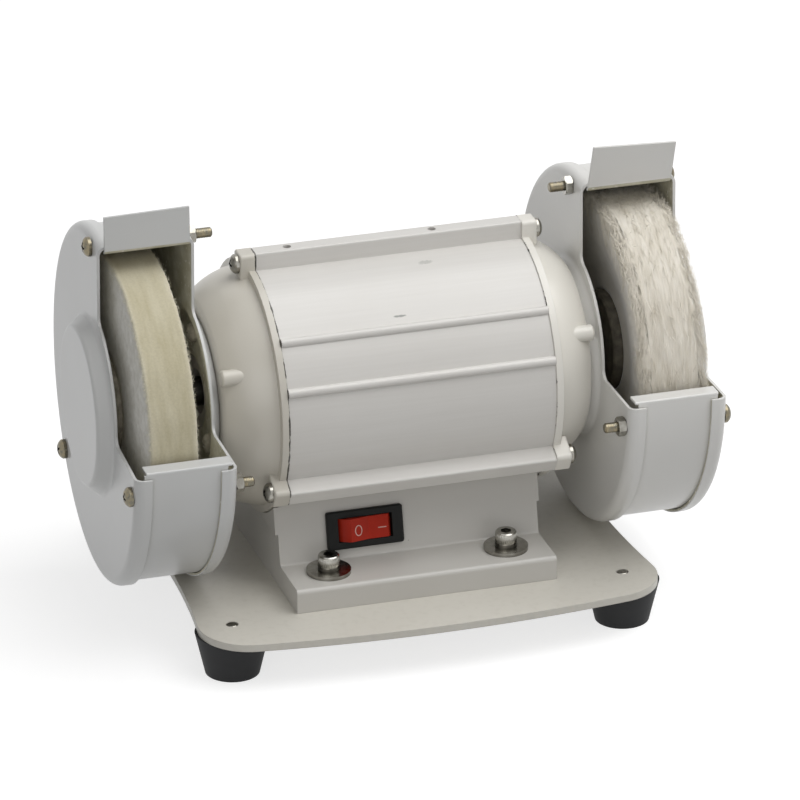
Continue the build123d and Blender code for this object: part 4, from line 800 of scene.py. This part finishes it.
def make_cotton_body(material):
    """Closed lathe surface of the pressed plies, from the clamp up one side, over the rim and back.

    The rim's radius rises and falls by streaks that run round it, its two edges are worn back by an
    uneven noise, and the sides stand in soft radial pleats that grow with the radius.  The rim and
    the sides lie in a little, so that their waves stay inside the solid's box.
    """
    rng = np.random.default_rng(SEED + 1)
    steps, side_steps, turn_steps, crown_steps = 720, 16, 10, 34
    rim_inset, side_inset = 0.1 * MM, 0.4 * MM
    side_r = np.concatenate([(POCKET_R,), np.linspace(FLANGE_R + 1.5 * MM, FOOT_R, side_steps)])
    side_x = side_half(side_r)
    turn = np.linspace(0, math.pi / 2, turn_steps)[1:]
    shoulder_x = CROWN_HALF + SHOULDER_X * np.cos(turn)
    crown_x = np.linspace(-CROWN_HALF, CROWN_HALF, crown_steps)[1:-1]
    x = np.concatenate([
        -side_x, -shoulder_x, crown_x, shoulder_x[::-1], side_x[::-1], HUB_X,
    ])[None, :]
    r = np.concatenate([
        side_r, cloth_radius(shoulder_x), cloth_radius(crown_x), cloth_radius(shoulder_x[::-1]),
        side_r[::-1], HUB_R,
    ])[None, :]
    outer = np.sign(x)
    angle = whole_turn(steps)
    on_rim = np.clip((r - FOOT_R + 3 * MM) / (6 * MM), 0, 1)
    on_side = np.clip((r - FLANGE_R - 3 * MM) / (30 * MM), 0, 1) * (np.abs(x) > CROWN_HALF)
    at_edge = np.exp(-((r - FOOT_R - 2 * MM) / (4.5 * MM)) ** 2) * (np.abs(x) > CROWN_HALF - 1 * MM)
    long_waves = streaks(rng, 40, (2, 18), 4 * MM, angle, x)
    short_waves = streaks(rng, 60, (6, 44), 1.6 * MM, angle, x)
    relief = on_rim * (LONG_RELIEF * long_waves + SHORT_RELIEF * short_waves - rim_inset)
    worn = edge_wear(angle, outer * CLOTH_HALF) * at_edge
    pleat = PLEAT * streaks(rng, 26, (9, 70), 200 * MM, angle, x) * on_side
    along = x + outer * (np.minimum(pleat, PLEAT_MOST) - side_inset * on_side - worn)
    radius = r + relief - 0.5 * worn
    # The tone follows the rim's waves: lighter on the raised streaks, darker in the hollows, which is
    # painted shade.
    shade = np.clip(0.8 + 0.05 * long_waves + 0.03 * short_waves, 0, 1)
    soot = 0.03 * on_side * streaks(rng, 20, (6, 60), 300 * MM, angle, x)
    # Darker towards the hub on the sides: soil and painted shade.
    depth = np.clip((FOOT_R + 1 * MM - r) / (FOOT_R - NECK_R), 0, 1)
    depth = np.clip(0.3 * depth**1.6 + soot, 0, 1)
    piece = mesh_piece("cotton_buff_body", about_spindle(BUFF_X + along, radius, angle),
                       [grid_faces(steps, x.size)],
                       material, "spindle_assembly", {"shade": shade, "depth": depth})
    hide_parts("cotton_buff")


def make_cotton_threads(material, name, count, length, rise, thick, edge_share, seed):
    """Worn threads and tufts on the buff's rim.

    A thread starts just under the rim's surface and runs round it, seven in ten the same way.  A
    point a share t along it has turned by t times its length over the radius, drifted across by t
    squared times its drift, and risen by t to the power of 1.5 times its rise.  Threads of the edge
    share start at the two edges and drift outwards.  The others follow the rim's curve.
    """
    rng = np.random.default_rng(SEED + seed)
    t = STRAND_T
    each = (count, 1)
    side = rng.choice((-1.0, 1.0), each)
    at_edge = rng.random(each) < edge_share
    start = rng.uniform(0, FULL_TURN, each)
    reach = CLOTH_HALF - edge_wear(start, side * CLOTH_HALF)
    by_edge = reach - rng.exponential(0.9 * MM, each)
    between = rng.random(each) * (reach - 0.8 * MM)
    x0 = side * np.where(at_edge, by_edge, between)
    run = rng.uniform(*length, each) * rng.choice((-1, 1), each, p=(0.3, 0.7))
    outwards = side * rng.uniform(0.4, 3.4, each)
    either_way = rng.normal(0, 0.8, each)
    drift = np.where(at_edge, outwards, either_way) * MM
    lift = 0.7 * MM + rise * rng.random(each) ** 1.4
    x = np.clip(x0 + drift * t**2, -THREAD_HALF, THREAD_HALF)
    root = cloth_radius(x0) - rng.uniform(0.1, 1.1, each) * MM
    hug = np.minimum(cloth_radius(x) - cloth_radius(x0), 0.0) * ~at_edge
    radius = np.minimum(root + hug + lift * t**1.5, THREAD_R)
    spine = about_spindle(BUFF_X + x, radius, start + run * t / CLOTH_R)
    width = strand_widths(rng, count, thick, 1.4)
    make_strands(name, spine, width, away_from_spindle(spine[:, 0]), material,
                 {"shade": rng.uniform(0.5, 1.0, each), "depth": np.zeros(each)})


def make_side_threads(material, count=7000):
    """Threads of the plies' loose edges on the buff's two sides, densest towards the rim.

    A thread starts in the side and runs round it.  A point a share t along it has turned by t times
    its length over its radius, sunk inwards by t times its dip and stood off by t times its lift.
    """
    rng = np.random.default_rng(SEED + 4)
    t = STRAND_T
    each = (count, 1)
    side = rng.choice((-1.0, 1.0), each)
    start = rng.uniform(0, FULL_TURN, each)
    below = rng.exponential(7 * MM, each)
    first = np.maximum(FOOT_R + 1 * MM - below, FLANGE_R + 4 * MM)
    run = rng.uniform(2, 7, each) * MM
    dip = rng.normal(1.0, 1.2, each) * MM
    lift = rng.uniform(0.3, 1.1, each) * MM
    radius = np.minimum(first - dip * t, FOOT_R + 2 * MM)
    x = side * (side_half(radius) - edge_wear(start, side * CLOTH_HALF) - 0.5 * MM + lift * t)
    spine = about_spindle(BUFF_X + x, radius, start + run * t / first)
    width = strand_widths(rng, count, SIDE_THREAD_THICK, 1.4)
    away = side * np.array((1.0, 0.0, 0.0))
    # Threads further below the rim are darker: soil and painted shade.
    depth = np.clip(0.25 * below / (25 * MM), 0, 1)
    make_strands("cotton_buff_side_threads", spine, width, away, material,
                 {"shade": rng.uniform(0.5, 1.0, each), "depth": depth})


def make_bolt_threads(material):
    """Threads of the six bare bolt ends: a three-cornered ridge carried along a helix.

    The helix advances by one pitch a turn.  The ridge's foot lies inside the bolt, its crest stands
    proud so that it shows, and it sinks into the bolt over about half a turn at both ends.
    """
    bolts = NODES["guard_bolts"].data
    places = np.empty(3 * len(bolts.vertices), np.float32)
    bolts.vertices.foreach_get("co", places)
    places = places.reshape(-1, 3).astype(float)
    bare = places[np.abs(places[:, 0]) < NUT_OUTER_X - 1 * MM]
    turns, per_turn, fade = 10, 18, 0.6
    t = np.linspace(0, 1, turns * per_turn + 1)[:, None]
    sunk = np.clip(np.minimum(t, 1 - t) * turns / fade, 0, 1)
    corner_x = RIDGE_HALF * np.array((-1, 0, 1))
    corner_r = RIDGE_PROUD * np.array((-1, 1, -1))
    start = NUT_OUTER_X - 0.3 * MM
    points = []
    for side in (-1, 1):
        for degrees in BOLT_ANGLES:
            guess = about_spindle(0.0, BOLT_CIRCLE, math.radians(degrees))
            near = np.linalg.norm(bare[:, 1:] - guess[1:], axis=1) < BOLT_NEAR
            mine = bare[near & (np.sign(bare[:, 0]) == side)]
            middle = (mine.min(0) + mine.max(0)) / 2
            end = np.abs(mine[:, 0]).min() + 0.5 * MM
            x = side * (start + (end - start) * t + corner_x)
            angle = side * FULL_TURN * (start - end) / BOLT_PITCH * t
            radius = BOLT_R - RIDGE_PROUD + (corner_r + RIDGE_PROUD) * sunk
            points.append(np.stack([x, middle[1] + radius * np.cos(angle),
                                    middle[2] + radius * np.sin(angle)], -1))
    rows = len(t)
    faces = repeated(grid_faces(rows, 3, closed=False), len(points), 3 * rows)
    caps = repeated([(0, 1, 2), (3 * rows - 1, 3 * rows - 2, 3 * rows - 3)], len(points), 3 * rows)
    mesh_piece("guard_bolt_threads", np.concatenate(points), [faces, caps], material,
               "frame")


def make_knurls(material):
    """Knurled bands of the four cap screws: a closed ring round each head, fluted outside.

    The ring's outer radius is the head's plus a cosine of the angle, with one wave for each ridge.
    Its two ends slope into the head.
    """
    steps = 6 * KNURL_RIDGES
    angle = whole_turn(steps)
    crest = CAP_HEAD_R + KNURL_DEPTH * (0.4 + 0.6 * np.cos(KNURL_RIDGES * angle))
    sunk = np.full_like(angle, CAP_HEAD_R - 0.15 * MM)
    radius = np.concatenate([sunk, crest, crest, sunk], 1)
    low, high = CAP_HI.z - CAP_HEAD_H + 0.2 * MM, CAP_HI.z - 0.5 * MM
    height = np.array((low, low + KNURL_SLOPE, high - KNURL_SLOPE, high))
    points = []
    for x in (CAP_LO.x + CAP_HEAD_R, CAP_HI.x - CAP_HEAD_R):
        for y in (CAP_LO.y + CAP_HEAD_R, CAP_HI.y - CAP_HEAD_R):
            points.append(np.stack([x + radius * np.cos(angle), y + radius * np.sin(angle),
                                    height + 0 * radius], -1))
    faces = repeated(grid_faces(steps, 4), len(points), 4 * steps)
    mesh_piece("cap_screw_knurls", np.concatenate(points), [faces], material, "frame")


def wing_height(normal):
    """How far the rocker's flat wing that faces along the normal lies out along it."""
    faces = NODES["switch_rocker"].data.polygons
    normals, centres = (np.empty(3 * len(faces), np.float32) for _ in range(2))
    faces.foreach_get("normal", normals)
    faces.foreach_get("center", centres)
    flat = normals.reshape(-1, 3) @ normal > 0.9995
    return float((centres.reshape(-1, 3)[flat] @ normal).max())


def make_rocker_marks(material):
    """The ring and the bar on the rocker: strokes that stand a little out of their wings.

    The ring's stroke is carried round an ellipse, and the bar's along a straight line with two ends.
    """
    steps = 48
    stroke = STROKE_HALF * np.array((-1, 1, 1, -1))
    height = np.array((MARK_OUT, MARK_OUT, -MARK_IN, -MARK_IN))
    turn = whole_turn(steps)
    ring = (RING_HALF[0] + stroke) * np.cos(turn), (RING_HALF[1] + stroke) * np.sin(turn)
    ring_faces = [grid_faces(steps, 4)]
    bar = BAR_HALF * np.array(((1,), (-1,))), stroke[None, :]
    bar_faces = [grid_faces(2, 4, closed=False), np.array(((0, 1, 2, 3), (7, 6, 5, 4)))]
    lean = math.cos(ROCKER_LEAN) * ROCKER_FACE + math.sin(ROCKER_LEAN) * np.array((1.0, 0.0, 0.0))
    marks = (
        ("rocker_off_mark", OFF_PLACE, lean, ring, ring_faces),
        ("rocker_on_mark", ON_PLACE, ROCKER_FACE, bar, bar_faces),
    )
    for name, place, normal, outline, faces in marks:
        leftward = np.cross(ROCKER_AXIS, -normal)
        middle = place + (wing_height(normal) - place @ normal) * normal
        a, b, h = np.broadcast_arrays(*outline, height[None, :])
        points = middle + a[..., None] * leftward + b[..., None] * ROCKER_AXIS + h[..., None] * normal
        mesh_piece(name, points, faces, material, "rocker")


# Finishes of the solids

def paint_nodes(material, names):
    """Gives solids a material."""
    for name in names:
        for slot in NODES[name].material_slots:
            slot.material = material


def both(*parts):
    """Names of the left and the right solid of each part."""
    return [f"{side}_{part}" for side in SIDES for part in parts]


def finish_solids(zinc, knurled):
    """Gives every solid its finish.  The zinc and the knurled nickel are made before, for two uses."""
    paint_nodes(cast_enamel(), ["pedestal"])
    for bell in both("end_bell"):
        paint_nodes(bell_enamel(bell), [bell])
    paint_nodes(housing_enamel(), ["motor_housing"])
    for side in SIDES:
        paint_nodes(guard_enamel(side), [f"{side}_guard_{part}" for part in ("cover", "pan", "band")])
    paint_nodes(plate_enamel(), ["base_plate"])
    feet = [f"foot_{end}_{side}" for end in ("front", "rear") for side in SIDES]
    paint_nodes(moulded_rubber(), [*feet, "gland_seal"])

    paint_nodes(plated_steel("bright_nickel", ("8b8880", "a5a39c"), roughness=0.2), [
        "pedestal_flat_washers", "pedestal_nuts", "end_bell_screws", "guard_nuts", "saddle_screws",
        "plate_screws", "terminal_screws", "switch_terminals", "foot_washers", "foot_screws",
    ])
    paint_nodes(knurled, ["pedestal_cap_screws"])
    paint_nodes(zinc, ["guard_bolts"])
    paint_nodes(plated_steel("oiled_spring_steel", ("5d5b55", "76736c"), roughness=0.3),
                ["pedestal_spring_washers"])
    paint_nodes(plated_steel("blackened_steel", ("34332f", "4a4842"), roughness=0.4),
                both("spindle_nut"))
    paint_nodes(plated_steel("cast_aluminium", ("9c9c9a", "b6b6b4"), roughness=0.45), ["rotor_cage"])
    paint_nodes(dusty_steel("dusty_steel", ("9d9788", "c8c2b2")),
                ["guard_screws", "left_inner_flange", "left_outer_flange"])
    # The right flanges' darker copy of the dusty steel is painted shade deep in the buff.
    paint_nodes(dusty_steel("dusty_steel_with_painted_shade", ("57534a", "746f63")),
                ["right_inner_flange", "right_outer_flange"])
    rings = both("bearing_outer_ring", "bearing_inner_ring", "bearing_balls", "bearing_cage")
    paint_nodes(turned_steel(), ["spindle", "preload_washer", *rings])

    paint_nodes(layered("core_laminations", {"Metallic": 0.9, "Roughness": 0.45},
                        ("3d3d3e", "5c5c5c"), spacing=0.5 * MM), ["stator_core", "rotor_core"])
    paint_nodes(layered("enamelled_copper", {"Metallic": 0.8, "Roughness": 0.35},
                        ("6e3416", "a8602c"), spacing=0.8 * MM), ["stator_windings"])
    paint_nodes(layered("braided_sleeving", {"Roughness": 0.8},
                        ("8c8266", "b3a98b"), spacing=1.0 * MM), ["motor_leads"])

    paint_nodes(moulded_plastic("black_abs", ("181918", "222322"), roughness=0.45, level=0.12),
                ["switch_body", "gland_sleeve", "gland_cap", "gland_lock_nut"])
    paint_nodes(moulded_plastic("red_abs", ("a22818", "b23020"), roughness=0.3, level=0.1,
                                grain=1.2 * MM), ["switch_rocker"])
    paint_nodes(moulded_plastic("grey_polyamide", ("9a9992", "aeada6"), roughness=0.5, level=0.5),
                ["run_capacitor", "terminal_block"])


make_camera()
make_studio()
yellow_zinc = plated_steel("yellow_zinc", ("6e6b60", "8a8069"), roughness=0.28, patch=1.6 * MM)
knurled_nickel = plated_steel("knurled_nickel", ("989690", "b4b2ab"), roughness=0.16)
finish_solids(yellow_zinc, knurled_nickel)
felt = pressed_felt()
make_felt_wheel(felt)
make_felt_hairs(felt)
cotton = loose_cotton()
make_cotton_body(cotton)
make_cotton_threads(cotton, "cotton_buff_lying_threads", count=9000, length=(6 * MM, 18 * MM),
                    rise=0.6 * MM, thick=0.06 * MM, edge_share=0.1, seed=2)
make_cotton_threads(cotton, "cotton_buff_loose_threads", count=7500, length=(1.5 * MM, 8 * MM),
                    rise=3.4 * MM, thick=0.09 * MM, edge_share=0.6, seed=3)
make_cotton_threads(cotton, "cotton_buff_tufts", count=3000, length=(3 * MM, 8 * MM),
                    rise=1.4 * MM, thick=0.16 * MM, edge_share=0.6, seed=5)
make_side_threads(cotton)
make_bolt_threads(yellow_zinc)
make_knurls(knurled_nickel)
make_rocker_marks(mark_paint())
bpy.context.scene.view_settings.view_transform = "Standard"
